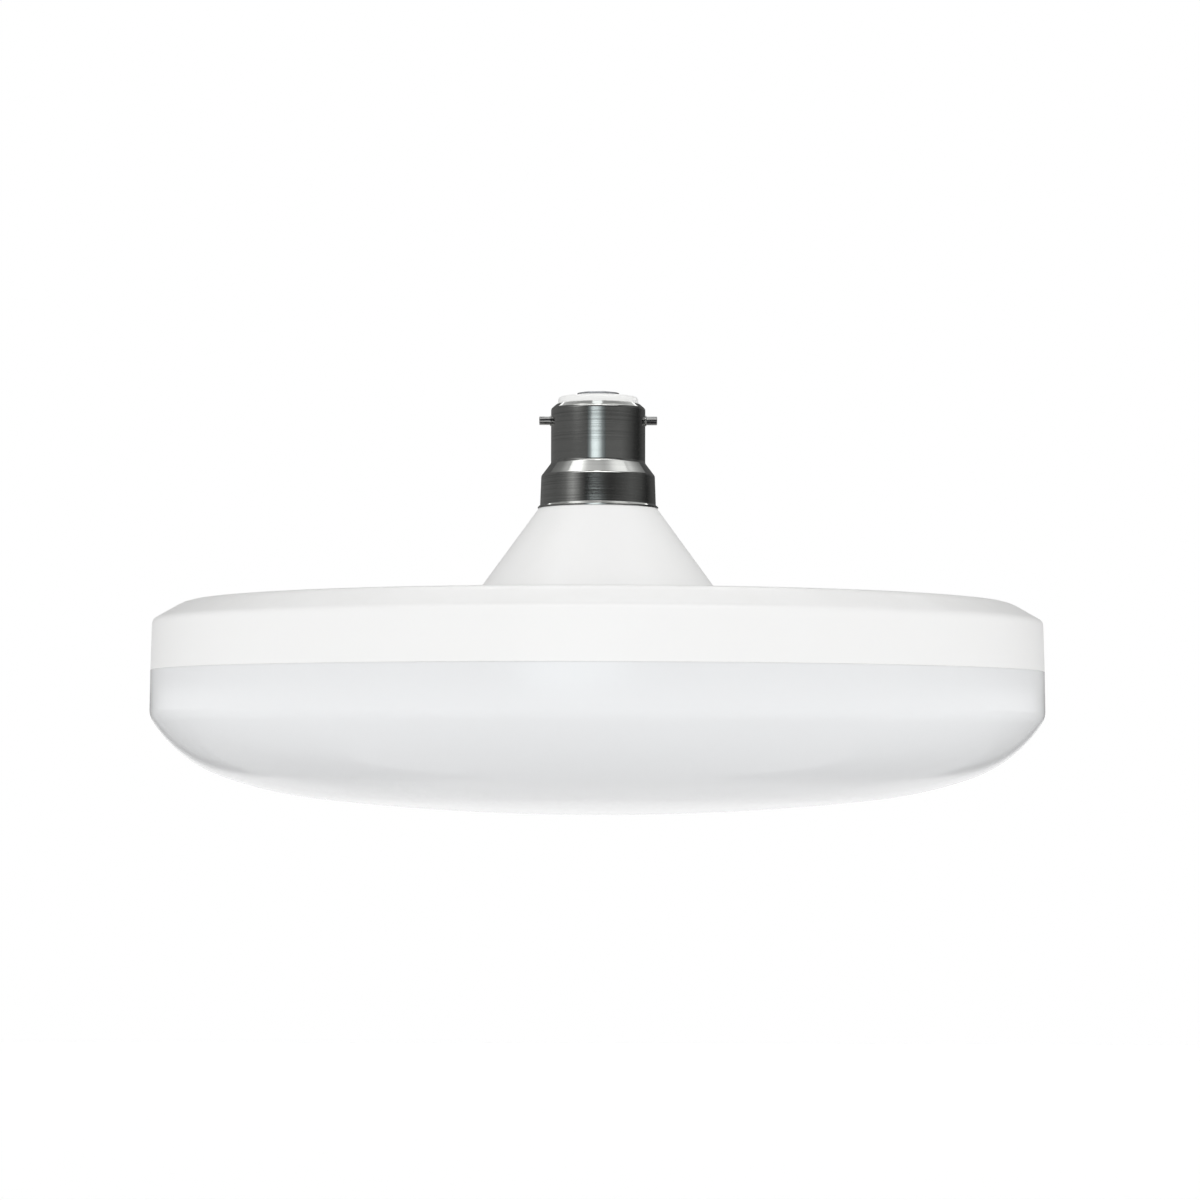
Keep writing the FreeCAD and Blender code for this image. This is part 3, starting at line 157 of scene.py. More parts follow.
def make_piece(name, grids, material):
    """One smooth mesh object from several grids, in metres, with doubles merged at the poles,
    faces turned outwards and the edge values kept as a point attribute."""
    points = []
    edges = []
    faces = []
    start = 0
    for grid, edge, rows_closed, columns_closed in grids:
        rows, columns = grid.shape[:2]
        points.append(grid.reshape(-1, 3) * MM)
        edges.append(edge.reshape(-1))
        faces.extend(faces_of(rows, columns, rows_closed, columns_closed, start).tolist())
        if rows_closed and not columns_closed:
            faces.extend(caps_of(rows, columns, start))
        start += rows * columns
    mesh = bpy.data.meshes.new(name)
    mesh.from_pydata(np.concatenate(points), [], faces)
    attribute = mesh.attributes.new("edge", "FLOAT", "POINT")
    attribute.data.foreach_set("value", np.concatenate(edges).astype(np.float32))
    work = bmesh.new()
    work.from_mesh(mesh)
    bmesh.ops.remove_doubles(work, verts=work.verts, dist=SAME_POINT)
    bmesh.ops.recalc_face_normals(work, faces=work.faces)
    work.to_mesh(mesh)
    work.free()
    mesh.polygons.foreach_set("use_smooth", np.ones(len(mesh.polygons), bool))
    mesh.materials.append(material)
    piece = bpy.data.objects.new(name, mesh)
    SCENE.collection.objects.link(piece)
    return piece


# Helpers for shader nodes

def put(tree, kind, inputs=None, **settings):
    """A new node. Each input is a number or colour to keep, or a socket to read."""
    node = tree.nodes.new(kind)
    for key, value in settings.items():
        setattr(node, key, value)
    for key, value in (inputs or {}).items():
        socket = node.inputs[key]
        if isinstance(value, bpy.types.NodeSocket):
            tree.links.new(value, socket)
        else:
            socket.default_value = value
    return node


def calc(tree, operation, *values):
    """One step of arithmetic."""
    return put(tree, "ShaderNodeMath", dict(enumerate(values)), operation=operation).outputs[0]


def noise(tree, place, scale, detail, roughness=0.5):
    """Noise about 0.5 at a place, with scale features per metre of it."""
    return put(tree, "ShaderNodeTexNoise", {
        "Vector": place, "Scale": scale, "Detail": detail, "Roughness": roughness,
    }).outputs[0]


def parts_of(tree, vector):
    """The X, Y and Z of a vector."""
    return put(tree, "ShaderNodeSeparateXYZ", {0: vector}).outputs


def combined(tree, *parts):
    """A vector from its X, Y and Z."""
    return put(tree, "ShaderNodeCombineXYZ", dict(enumerate(parts))).outputs[0]


def blend_colour(tree, factor, first, second):
    """Two colours mixed. The node's sockets 0, 6 and 7 are the factor and the two colours."""
    return put(tree, "ShaderNodeMix", {0: factor, 6: first, 7: second}, data_type="RGBA").outputs[2]


def ramp(tree, value, low, high, to_low=0.0, to_high=1.0):
    """A straight rise of the value from low to high, held beyond both."""
    node = put(tree, "ShaderNodeMapRange", {
        "Value": value, "From Min": low, "From Max": high, "To Min": to_low, "To Max": to_high,
    }, clamp=True)
    return node.outputs["Result"]


def new_group(name, inputs, outputs):
    """An empty shader group with named sockets, its input node and its output node."""
    group = bpy.data.node_groups.new(name, "ShaderNodeTree")
    for label, kind, value in inputs:
        socket = group.interface.new_socket(label, in_out="INPUT", socket_type=kind)
        if value is not None:
            socket.default_value = value
    for label, kind in outputs:
        group.interface.new_socket(label, in_out="OUTPUT", socket_type=kind)
    return group, group.nodes.new("NodeGroupInput"), group.nodes.new("NodeGroupOutput")


def seen_straight(tree):
    """1 for what the camera sees, also off gloss and through glass, and 0 for light that falls
    on things."""
    path = put(tree, "ShaderNodeLightPath").outputs
    seen = calc(tree, "MAXIMUM", path["Is Camera Ray"], path["Is Glossy Ray"])
    return calc(tree, "MAXIMUM", seen, path["Is Transmission Ray"])


def colour(red, green, blue):
    """An opaque colour."""
    return (red, green, blue, 1.0)


FLOAT, COLOUR, VECTOR = "NodeSocketFloat", "NodeSocketColor", "NodeSocketVector"
WHITE = colour(1.0, 1.0, 1.0)
BLACK = colour(0.0, 0.0, 0.0)


# Effects that several materials share
CLOUDS_PER_METRE = 28.0
PATCHES_PER_METRE = 90.0
BANDS_PER_LINE = 0.12  # how many wide bands of turning there are to each fine line
PADS_PER_TRACK = 0.45
LEAST_RADIUS = 1e-5    # in metres, so that nothing is divided by zero on the axis


def build_mould_grain():
    """Fine pitted grain with wide, faint clouds of a second tint, as moulded plastic has."""
    group, entry, leave = new_group("MouldGrain", [
        ("Place", VECTOR, None), ("Colour", COLOUR, WHITE), ("Tint", COLOUR, WHITE),
        ("Clouding", FLOAT, 0.3), ("Grains per metre", FLOAT, 3000.0),
        ("Roughness", FLOAT, 0.4), ("Spread", FLOAT, 0.05),
    ], [("Colour", COLOUR), ("Roughness", FLOAT), ("Height", FLOAT)])
    read = entry.outputs
    grain = noise(group, read["Place"], read["Grains per metre"], 2.0, 0.55)
    clouds = noise(group, read["Place"], CLOUDS_PER_METRE, 3.0)
    amount = calc(group, "MULTIPLY", ramp(group, clouds, 0.35, 0.7), read["Clouding"])
    mixed = blend_colour(group, amount, read["Colour"], read["Tint"])
    swing = calc(group, "SUBTRACT", calc(group, "ADD", grain, clouds), 1.0)
    rough = calc(group, "MULTIPLY_ADD", swing, read["Spread"], read["Roughness"])
    group.links.new(mixed, leave.inputs["Colour"])
    group.links.new(rough, leave.inputs["Roughness"])
    group.links.new(grain, leave.inputs["Height"])
    return group


def build_turned_lines():
    """Fine rings about the Z axis of Place, as a lathe tool leaves: noise that changes fast along
    the axis and the radius, and slowly around, so that each ring fades in and out."""
    group, entry, leave = new_group("TurnedLines", [
        ("Place", VECTOR, None), ("Colour", COLOUR, WHITE), ("Dark", COLOUR, WHITE),
        ("Lines per metre", FLOAT, 6000.0), ("Around", FLOAT, 1.2), ("Depth", FLOAT, 0.5),
        ("Roughness", FLOAT, 0.3), ("Spread", FLOAT, 0.2),
    ], [("Colour", COLOUR), ("Roughness", FLOAT), ("Height", FLOAT)])
    read = entry.outputs
    x, y, z = parts_of(group, read["Place"])
    square = calc(group, "ADD", calc(group, "MULTIPLY", x, x), calc(group, "MULTIPLY", y, y))
    radius = calc(group, "MAXIMUM", calc(group, "SQRT", square), LEAST_RADIUS)
    around = [calc(group, "MULTIPLY", calc(group, "DIVIDE", part, radius), read["Around"])
              for part in (x, y)]
    along = calc(group, "MULTIPLY", calc(group, "ADD", z, radius), read["Lines per metre"])
    lines = noise(group, combined(group, *around, along), 1.0, 4.0, 0.6)
    slower = calc(group, "MULTIPLY", along, BANDS_PER_LINE)
    bands = noise(group, combined(group, *around, slower), 1.0, 3.0, 0.55)
    scratch = calc(group, "MULTIPLY", ramp(group, lines, 0.45, 0.64), ramp(group, bands, 0.4, 0.58))
    mixed = blend_colour(group, calc(group, "MULTIPLY", scratch, read["Depth"]),
                         read["Colour"], read["Dark"])
    swing = calc(group, "SUBTRACT", calc(group, "ADD", lines, bands), 1.0)
    rough = calc(group, "MULTIPLY_ADD", swing, read["Spread"], read["Roughness"])
    group.links.new(mixed, leave.inputs["Colour"])
    group.links.new(rough, leave.inputs["Roughness"])
    group.links.new(calc(group, "ADD", lines, bands), leave.inputs["Height"])
    return group


def build_edge_rub():
    """Where the edge attribute is 1, handling has rubbed the finish: a mask broken up by noise."""
    group, entry, leave = new_group("EdgeRub", [
        ("Place", VECTOR, None), ("Colour", COLOUR, WHITE), ("Bare", COLOUR, WHITE),
        ("Amount", FLOAT, 0.5), ("Breaks per metre", FLOAT, 700.0),
    ], [("Colour", COLOUR), ("Mask", FLOAT)])
    read = entry.outputs
    edge = put(group, "ShaderNodeAttribute", attribute_name="edge").outputs["Fac"]
    breaks = noise(group, read["Place"], read["Breaks per metre"], 3.0)
    broken = calc(group, "MULTIPLY", edge, ramp(group, breaks, 0.3, 0.6))
    mask = calc(group, "MULTIPLY", broken, read["Amount"])
    group.links.new(blend_colour(group, mask, read["Colour"], read["Bare"]), leave.inputs["Colour"])
    group.links.new(mask, leave.inputs["Mask"])
    return group


def build_dust():
    """A thin film of dust on faces that look up, thicker in patches."""
    group, entry, leave = new_group("Dust", [
        ("Place", VECTOR, None), ("Colour", COLOUR, WHITE), ("Dust", COLOUR, WHITE),
        ("Roughness", FLOAT, 0.4), ("Amount", FLOAT, 0.1),
    ], [("Colour", COLOUR), ("Roughness", FLOAT)])
    read = entry.outputs
    normal = put(group, "ShaderNodeNewGeometry").outputs["Normal"]
    upward = ramp(group, parts_of(group, normal)[2], 0.2, 1.0)
    patches = noise(group, read["Place"], PATCHES_PER_METRE, 5.0, 0.65)
    settled = calc(group, "MULTIPLY", upward, ramp(group, patches, 0.3, 0.7))
    film = calc(group, "MULTIPLY", settled, read["Amount"])
    group.links.new(blend_colour(group, film, read["Colour"], read["Dust"]), leave.inputs["Colour"])
    group.links.new(calc(group, "MULTIPLY_ADD", film, 0.5, read["Roughness"]),
                    leave.inputs["Roughness"])
    return group


def build_board_tracks():
    """Printed board tracks under the solder mask: straight runs from a brick pattern, with gaps
    between them and round openings, as a colour and a height."""
    group, entry, leave = new_group("BoardTracks", [
        ("Place", VECTOR, None), ("Mask", COLOUR, WHITE), ("Track", COLOUR, WHITE),
        ("Tracks per metre", FLOAT, 200.0),
    ], [("Colour", COLOUR), ("Height", FLOAT)])
    read = entry.outputs
    bricks = put(group, "ShaderNodeTexBrick", {
        "Vector": read["Place"], "Color1": WHITE, "Color2": WHITE, "Mortar": BLACK,
        "Scale": read["Tracks per metre"], "Mortar Size": 0.09, "Mortar Smooth": 0.2,
        "Brick Width": 2.6, "Row Height": 0.8,
    })
    cells = put(group, "ShaderNodeTexVoronoi", {
        "Vector": read["Place"],
        "Scale": calc(group, "MULTIPLY", read["Tracks per metre"], PADS_PER_TRACK),
    })
    pads = ramp(group, cells.outputs["Distance"], 0.16, 0.13)
    open_ground = calc(group, "MAXIMUM", bricks.outputs["Fac"], pads)
    runs = calc(group, "SUBTRACT", 1.0, open_ground)
    group.links.new(blend_colour(group, runs, read["Mask"], read["Track"]), leave.inputs["Colour"])
    group.links.new(runs, leave.inputs["Height"])
    return group


GROUPS = {
    "grain": build_mould_grain(),
    "turned": build_turned_lines(),
    "rub": build_edge_rub(),
    "dust": build_dust(),
    "tracks": build_board_tracks(),
}


# Materials
DUST = colour(0.62, 0.6, 0.56)
RUBBED_LIGHTER = 1.06  # how much lighter plastic is where hands have rubbed it


class Finish:
    """A material under way: its tree, its shader, and where its patterns are placed."""

    def __init__(self, name, centre=(0.0, 0.0, 0.0), **constants):
        self.material = bpy.data.materials.new(name)
        self.material.use_nodes = True
        self.tree = self.material.node_tree
        self.shader = self.tree.nodes["Principled BSDF"]
        for key, value in constants.items():
            self.shader.inputs[key.replace("_", " ")].default_value = value
        coordinates = put(self.tree, "ShaderNodeTexCoord")
        mapping = put(self.tree, "ShaderNodeMapping", {"Vector": coordinates.outputs["Object"]},
                      vector_type="TEXTURE")
        mapping.inputs["Location"].default_value = [value * MM for value in centre]
        self.place = mapping.outputs[0]

    def use(self, group, **inputs):
        """Place one of the shared groups. Words in input names are joined by underscores."""
        named = {key.replace("_", " "): value for key, value in inputs.items()}
        return put(self.tree, "ShaderNodeGroup", {"Place": self.place, **named},
                   node_tree=GROUPS[group]).outputs

    def wire(self, **outputs):
        """Join sockets to the shader's own inputs."""
        for key, value in outputs.items():
            self.tree.links.new(value, self.shader.inputs[key.replace("_", " ")])

    def done(self, tone, rough, height, depth):
        """Join colour and roughness, raise the surface by up to depth millimetres times the
        height, and hand over the material."""
        bump = put(self.tree, "ShaderNodeBump", {
            "Height": height, "Distance": depth * MM, "Strength": 1.0})
        self.wire(Base_Color=tone, Roughness=rough, Normal=bump.outputs[0])
        return self.material


def moulded(name, base, tint, roughness=0.4, spread=0.06, grain=2500.0, clouding=0.4, depth=0.004,
            dust=0.0, rub=0.0, **constants):
    """Moulded plastic: grain and clouds, a lighter tone on rubbed edges, and a film of dust."""
    finish = Finish(name, **constants)
    grained = finish.use("grain", Colour=base, Tint=tint, Clouding=clouding,
                         Grains_per_metre=grain, Roughness=roughness, Spread=spread)
    tone, rough = grained["Colour"], grained["Roughness"]
    if rub:
        lighter = colour(*[min(1.0, value * RUBBED_LIGHTER) for value in base[:3]])
        tone = finish.use("rub", Colour=tone, Bare=lighter, Amount=rub)["Colour"]
    if dust:
        dusted = finish.use("dust", Colour=tone, Dust=DUST, Roughness=rough, Amount=dust)
        tone, rough = dusted["Colour"], dusted["Roughness"]
    return finish.done(tone, rough, grained["Height"], depth)


def turned_metal(name, base, dark, roughness=0.3, spread=0.2, lines=6000.0, around=1.2,
                 lines_depth=0.5, depth=0.004, rub=0.0, bare=None, **constants):
    """Turned or brushed metal: rings about the placed Z axis and edges rubbed bright."""
    finish = Finish(name, Metallic=1.0, **constants)
    rings = finish.use("turned", Colour=base, Dark=dark, Lines_per_metre=lines, Around=around,
                       Depth=lines_depth, Roughness=roughness, Spread=spread)
    tone = rings["Colour"]
    if rub:
        tone = finish.use("rub", Colour=tone, Bare=bare or base, Amount=rub)["Colour"]
    return finish.done(tone, rings["Roughness"], rings["Height"], depth)


# Dimensions of the lamp in millimetres, as in its solids apart from softer bends, with zero on
# the bayonet pins' axis
BARREL, BARREL_BORE = 11.0, 10.6
MOUTH, MOUTH_TOP, MOUTH_UNDER = 9.45, 3.75, 3.35
SHOULDER = 9.8
LIP, LIP_LEVEL = 14.05, -20.65
PIN, PIN_TIP = 1.0, 13.75
COLLAR, COLLAR_TOP = 1.25, 11.25
SHANK = 0.8
SPIGOT, SPIGOT_BORE, SPIGOT_TOP = 12.95, 10.95, -14.0
PLATEAU, PLATEAU_UNDER, BOSS_ROOT = -43.0, -45.0, -44.0
SEAM, SEAM_HALF_GAP = -58.73, 0.005
RIM_TOP, RIM_FOOT, RIM_BORE = 102.6, 102.9, 101.0
GROOVE, GROOVE_TOP, GROOVE_FOOT = 101.8, -51.63, -53.43
TONGUE_BORE, TONGUE, TONGUE_TOP, TONGUE_ROOT = 99.6, 100.8, -50.03, -61.03
HOOK_BACK, HOOK_TIP, HOOK_TOP, HOOK_FOOT = 100.2, 101.55, -51.73, -53.33
SIDE, SIDE_END = 103.0, -67.72
DOME_RADII = (5.0, 31.28, 97.67)
DOME_ANGLES = (57.36, 19.35, 6.46)
DOME_COUNTS = (8, 26, 16, 20)
DOME_WALL = 1.6
CONTACT_LONG, CONTACT_WIDE, CONTACT_APART = 9.8, 5.6, 4.4
CONTACT_DOME = 34.0
CONTACT_RISE = 0.85
CONTACT_FILLET = 0.18
CONTACT_FLAT = 0.93  # the fillet starts at this share of a contact's half width
DENT_DEPTH, DENT_SPREAD, RIPPLE = 0.04, 1.6, 0.012
INSULATOR_TOP = 5.45
STEM, STEM_BORE, STEM_FOOT, STEM_BORE_TOP = 1.23, 0.73, -1.5, 3.0
FEET_LEVEL = -46.9

# How many equal steps go round
ROUND_DISC, ROUND_CAP, ROUND_PIN, ROUND_SLOT, ROUND_STEM, ROUND_BOSS = 384, 256, 64, 96, 48, 40


def make_cap_shell(material):
    """The bayonet shell. Formula: a closed section of the sheet, outside and inside, with a
    sloping shoulder at its mouth, a cone between barrel and skirt and a flared lip with an
    upright edge, turned about Z."""
    outside = [
        (MOUTH, MOUTH_UNDER, 0.06), (MOUTH, MOUTH_TOP, 0.1), (SHOULDER, MOUTH_TOP, 0.35),
        (BARREL, 2.7, 0.8), (BARREL, -10.0, 0.9), (13.25, -13.0, 0.9), (13.5, -19.8, 0.15),
        (14.0, -20.22, 0.05), (LIP, -20.3, 0.03),
    ]
    inside = [
        (LIP, LIP_LEVEL, 0.02), (13.65, LIP_LEVEL, 0.1), (13.1, -20.1, 0.3), (12.85, -13.15, 0.8),
        (BARREL_BORE, -10.12, 0.8), (BARREL_BORE, 2.7, 0.2), (SHOULDER, MOUTH_UNDER, 0.3),
    ]
    path, edge = rounded(outside + inside, step=10.0)
    path, edge = subdivided(path, edge, 0.8)
    return make_piece("turned_cap", [lathe(path, edge, ROUND_CAP)], material)


def make_pin(name, side, material):
    """One bayonet pin. Formula: a section of rivet head, shank, collar and pin, from the cap's
    axis outwards, turned about X."""
    corners = [
        (0.0, 10.0), (COLLAR, 10.0, 0.2), (COLLAR, 10.5, 0.1), (SHANK, 10.5, 0.05),
        (SHANK, 10.95, 0.05), (COLLAR, 10.95, 0.05), (COLLAR, COLLAR_TOP, 0.1),
        (PIN, COLLAR_TOP, 0.06), (PIN, PIN_TIP, 0.15), (0.0, PIN_TIP),
    ]
    path, edge = rounded(corners, hold=0.08, closed=False)
    path = path * np.array([1.0, side])
    return make_piece(name, [lathe(path, edge, ROUND_PIN, axis="X", closed=False)], material)


def make_contact(name, side, material):
    """One soldered contact. Formula: rings of a slot shape, a segment widened by a half width,
    shrink to the middle; the height is a ball of large radius, less a shallow dent where the
    solder set, plus three slow ripples, and the rim turns down over a quarter circle."""
    half, radius = (CONTACT_LONG - CONTACT_WIDE) / 2, CONTACT_WIDE / 2
    angles = np.linspace(0.0, 2 * np.pi, ROUND_SLOT, endpoint=False)
    share = np.concatenate([
        np.linspace(0.0, CONTACT_FLAT, 15), np.full(11, CONTACT_FLAT), [0.5, 0.0]])
    swing = np.concatenate([
        np.zeros(15), np.radians(np.linspace(10.0, 90.0, 9)), [np.pi / 2] * 2, [0, 0]])
    reach = share * radius + CONTACT_FILLET * np.sin(swing)
    across = half * np.tanh(3.0 * np.cos(angles))[None, :] * (share / CONTACT_FLAT)[:, None]
    across = across + reach[:, None] * np.cos(angles)
    along = reach[:, None] * np.sin(angles) + np.zeros_like(across)
    squared = across ** 2 + along ** 2
    dome = CONTACT_RISE - (CONTACT_DOME - np.sqrt(CONTACT_DOME ** 2 - squared))
    dent = DENT_DEPTH * np.exp(-squared / DENT_SPREAD)
    ripple = RIPPLE * (np.sin(1.9 * across + 0.6 * side) + np.sin(2.7 * along + 1.1)
                       + np.sin(1.3 * across - 2.1 * along))
    height = dome - dent + ripple - (CONTACT_FILLET * (1 - np.cos(swing)))[:, None]
    height[-3:] = -0.3  # the last three rings are the wall's foot and the flat underside
    grid = np.stack([across, along + CONTACT_APART * side, height + INSULATOR_TOP], axis=2)
    edge = np.broadcast_to((swing > 0)[:, None].astype(float), across.shape)
    stem_top = INSULATOR_TOP - 0.25
    stem = np.array([
        (0.0, stem_top), (STEM, stem_top), (STEM, STEM_FOOT), (STEM_BORE, STEM_FOOT),
        (STEM_BORE, STEM_BORE_TOP), (0.0, STEM_BORE_TOP),
    ])
    tube, tube_edge, *joined = lathe(stem, np.zeros(len(stem)), ROUND_STEM, closed=False)
    tube = tube + np.array([0.0, CONTACT_APART * side, 0.0])
    return make_piece(name, [(grid, edge, False, True), (tube, tube_edge, *joined)], material)


def dome_outline(inset):
    """The dome's section from its side to the axis, moved inwards by inset. Formula: arcs about
    centres that shift along the joint's direction by the change of radius, so that each meets
    the next without a corner, and the last arc's radius brings it level on the axis."""
    bounds = np.array([np.pi / 2, *np.radians(DOME_ANGLES), 0.0])
    spans = -np.diff(np.sin(bounds))
    radii = [*DOME_RADII, (SIDE - np.dot(DOME_RADII, spans[:-1])) / spans[-1]]
    centre = np.array([SIDE - radii[0], SIDE_END])
    points = []
    for arc, (radius, count) in enumerate(zip(radii, DOME_COUNTS)):
        swing = np.linspace(bounds[arc], bounds[arc + 1], count + 1)
        spokes = np.stack([np.sin(swing), -np.cos(swing)], axis=1)
        if arc > 0:
            spokes = spokes[1:]
        points.append(centre + spokes * (radius - inset))
        if arc + 1 < len(radii):
            centre = centre + spokes[-1] * (radius - radii[arc + 1])
    return np.concatenate(points)


def make_diffuser(material):
    """The opal dome. Formula: its inner section from the axis to the tongue, over the tongue's
    top, down the side and back to the axis along four arcs, turned about Z; and six hooks,
    short closed sections turned through seven degrees each."""
    top, top_edge = rounded([
        (TONGUE_BORE, TONGUE_ROOT), (TONGUE_BORE, TONGUE_TOP, 0.2), (TONGUE, TONGUE_TOP, 0.2),
        (TONGUE, SEAM - 0.02, 0.1), (RIM_FOOT, SEAM - SEAM_HALF_GAP, 0.02), (SIDE, SIDE_END),
    ], closed=False)
    outer, inner = dome_outline(0.0), dome_outline(DOME_WALL)[::-1]
    inside, inside_edge = rounded([
        (SIDE - DOME_WALL, SIDE_END), (SIDE - DOME_WALL, TONGUE_ROOT - 3.0, 1.0),
        (TONGUE_BORE, TONGUE_ROOT, 1.0), (TONGUE_BORE, -60.0),
    ], closed=False)
    top, top_edge = subdivided(top[1:-1], top_edge[1:-1], 2.5, closed=False)
    path = np.concatenate([inner, inside[1:-1], top, outer])
    edge = np.concatenate([np.zeros(len(inner)), inside_edge[1:-1], top_edge, np.zeros(len(outer))])
    grids = [lathe(path, edge, ROUND_DISC, closed=False)]
    hook, hook_edge = rounded([
        (HOOK_BACK, HOOK_FOOT, 0.05), (HOOK_TIP, HOOK_FOOT, 0.08), (HOOK_TIP, -52.93, 0.1),
        (TONGUE, HOOK_TOP, 0.1), (HOOK_BACK, HOOK_TOP, 0.05),
    ], hold=0.05)
    grids += [lathe(hook, hook_edge, 9, first=middle - 3.5, last=middle + 3.5)
              for middle in 60.0 * np.arange(6)]
    return make_piece("opal_dome", grids, material)


def rib_grid(angle):
    """One rib under the plateau. Formula: a flat section in radius and height, given a thickness
    that narrows from 1.4 at the root to 1.2 at the foot, turned to its angle about Z."""
    section = np.array([(39.0, -48.0), (98.0, -48.0), (98.0, -46.3), (94.5, -44.2), (39.0, -44.2)])
    thickness = np.array([1.2, 1.2, 1.4, 1.4, 1.4]) / 2
    swing = math.radians(angle)
    out = np.array([math.cos(swing), math.sin(swing)])
    side = np.array([-math.sin(swing), math.cos(swing)])
    sheets = []
    for sign in (-1.0, 1.0):
        flat = section[:, 0][:, None] * out + (sign * thickness)[:, None] * side
        sheets.append(np.concatenate([flat, section[:, 1][:, None]], axis=1))
    grid = np.stack(sheets, axis=1)
    return grid, np.zeros(grid.shape[:2]), True, False


def boss_grid(ring, angle, radius, under, bore, depth):
    """One boss with its blind pilot hole. Formula: an open section from the axis over the boss's
    root, down its side and up the hole, turned about Z, then moved out to its ring."""
    section = [
        (0.0, BOSS_ROOT), (radius, BOSS_ROOT, 0.1), (radius, under, 0.25), (bore, under, 0.2),
        (bore, under + depth), (0.0, under + depth),
    ]
    path, edge = rounded(section, closed=False)
    grid, values, *joined = lathe(path, edge, ROUND_BOSS, closed=False)
    swing = math.radians(angle)
    return grid + np.array([ring * math.cos(swing), ring * math.sin(swing), 0.0]), values, *joined


def make_housing(material):
    """The white moulding. Formula: a closed section of spigot, cone neck, plateau, chamfer, rim,
    snap groove and inner faces turned about Z, with twelve ribs and nine bosses inside."""
    outside = [
        (SPIGOT_BORE, SPIGOT_TOP, 0.2), (12.75, SPIGOT_TOP, 0.4), (SPIGOT, -19.85, 0.1),
        (SPIGOT, LIP_LEVEL, 0.1), (13.85, LIP_LEVEL, 0.15), (30.1, PLATEAU, 3.0),
        (95.1, PLATEAU, 8.0), (RIM_TOP, -47.31, 1.6), (RIM_FOOT, SEAM + SEAM_HALF_GAP, 0.02),
    ]
    inside = [
        (RIM_BORE, SEAM + 0.02, 0.12), (RIM_BORE, GROOVE_FOOT, 0.12), (GROOVE, GROOVE_FOOT, 0.1),
        (GROOVE, GROOVE_TOP, 0.1), (RIM_BORE, GROOVE_TOP, 0.12), (RIM_BORE, -48.69, 0.8),
        (94.57, PLATEAU_UNDER, 5.0), (29.05, PLATEAU_UNDER, 2.0), (SPIGOT_BORE, -20.3, 1.0),
    ]
    path, edge = rounded(outside + inside, step=10.0, hold=0.3)
    path, edge = subdivided(path, edge, 5.0)
    grids = [lathe(path, edge, ROUND_DISC)]
    grids += [rib_grid(30.0 * number) for number in range(12)]
    grids += [boss_grid(31.5, 120.0 * number, radius=2.75, under=-47.5, bore=1.05, depth=3.3)
              for number in range(3)]
    grids += [boss_grid(72.0, 60.0 * number, radius=4.0, under=-52.0, bore=1.3, depth=5.9)
              for number in range(6)]
    return make_piece("white_housing", grids, material)


# Finishes of what shows
cap_metal = turned_metal(
    "cap_metal", colour(0.47, 0.475, 0.46), colour(0.16, 0.165, 0.16), roughness=0.09, spread=0.1,
    lines=2600.0, around=0.2, lines_depth=0.4, rub=0.35, bare=colour(0.72, 0.72, 0.7),
    Anisotropic=0.2, Anisotropic_Rotation=0.25,
)
insulator_white = moulded(
    "insulator_white", colour(0.93, 0.93, 0.92), colour(0.9, 0.9, 0.88), roughness=0.36, rub=0.3,
)
housing_white = moulded(
    "housing_white", colour(0.93, 0.93, 0.925), colour(0.915, 0.915, 0.905), roughness=0.36,
    grain=3200.0, clouding=0.5, depth=0.003, dust=0.1, rub=0.6,
)
diffuser_opal = moulded(
    "diffuser_opal", colour(0.86, 0.87, 0.88), colour(0.85, 0.86, 0.87), roughness=0.1,
    spread=0.03, grain=900.0, clouding=0.4, depth=0.002, rub=0.5,
    Subsurface_Weight=0.5, Subsurface_Radius=(1.0, 1.0, 1.0), Subsurface_Scale=0.0006,
)


def build_tinned_contact():
    """Solder that set with a dull skin: crystals in patches, duller and brighter."""
    finish = Finish("tinned_contact", Metallic=1.0)
    crystals = put(finish.tree, "ShaderNodeTexVoronoi", {
        "Vector": finish.place, "Scale": 1600.0, "Randomness": 1.0}).outputs["Distance"]
    grained = finish.use("grain", Colour=colour(0.5, 0.51, 0.53), Tint=colour(0.34, 0.34, 0.36),
                         Clouding=0.8, Grains_per_metre=1800.0, Roughness=0.33, Spread=0.25)
    dulled = ramp(finish.tree, crystals, 0.1, 0.7, 0.0, 0.5)
    speckled = blend_colour(finish.tree, dulled, grained["Colour"], colour(0.3, 0.3, 0.31))
    return finish.done(speckled, grained["Roughness"], crystals, 0.01)


def build_pin_metal():
    """Drawn wire: streaks that run along the pin, from near-black to bare bright metal, which are
    partly drawing marks and partly painted reflection bands.
    """
    finish = Finish("pin_metal", Metallic=1.0)
    stretched = put(finish.tree, "ShaderNodeMapping", {
        "Vector": finish.place, "Scale": (60.0, 1700.0, 1700.0)}).outputs[0]
    streaks_and_painted_reflections = noise(finish.tree, stretched, 1.0, 3.0, 0.6)
    # The streaks' colour runs from near-black to bright metal: partly drawing marks, partly painted
    # reflection bands along the pin.
    tone = blend_colour(finish.tree, ramp(finish.tree, streaks_and_painted_reflections, 0.38, 0.6),
                        colour(0.02, 0.02, 0.022), colour(0.34, 0.34, 0.33))
    rubbed = finish.use("rub", Colour=tone, Bare=colour(0.8, 0.8, 0.78), Amount=0.2)
    rough = ramp(finish.tree, streaks_and_painted_reflections, 0.3, 0.7, 0.28, 0.08)
    return finish.done(rubbed["Colour"], rough, streaks_and_painted_reflections, 0.006)


pin_metal = build_pin_metal()
tinned_contact = build_tinned_contact()


# Finishes of what is held inside
STRIPE_HALF_ANGLE = 0.35  # in radians
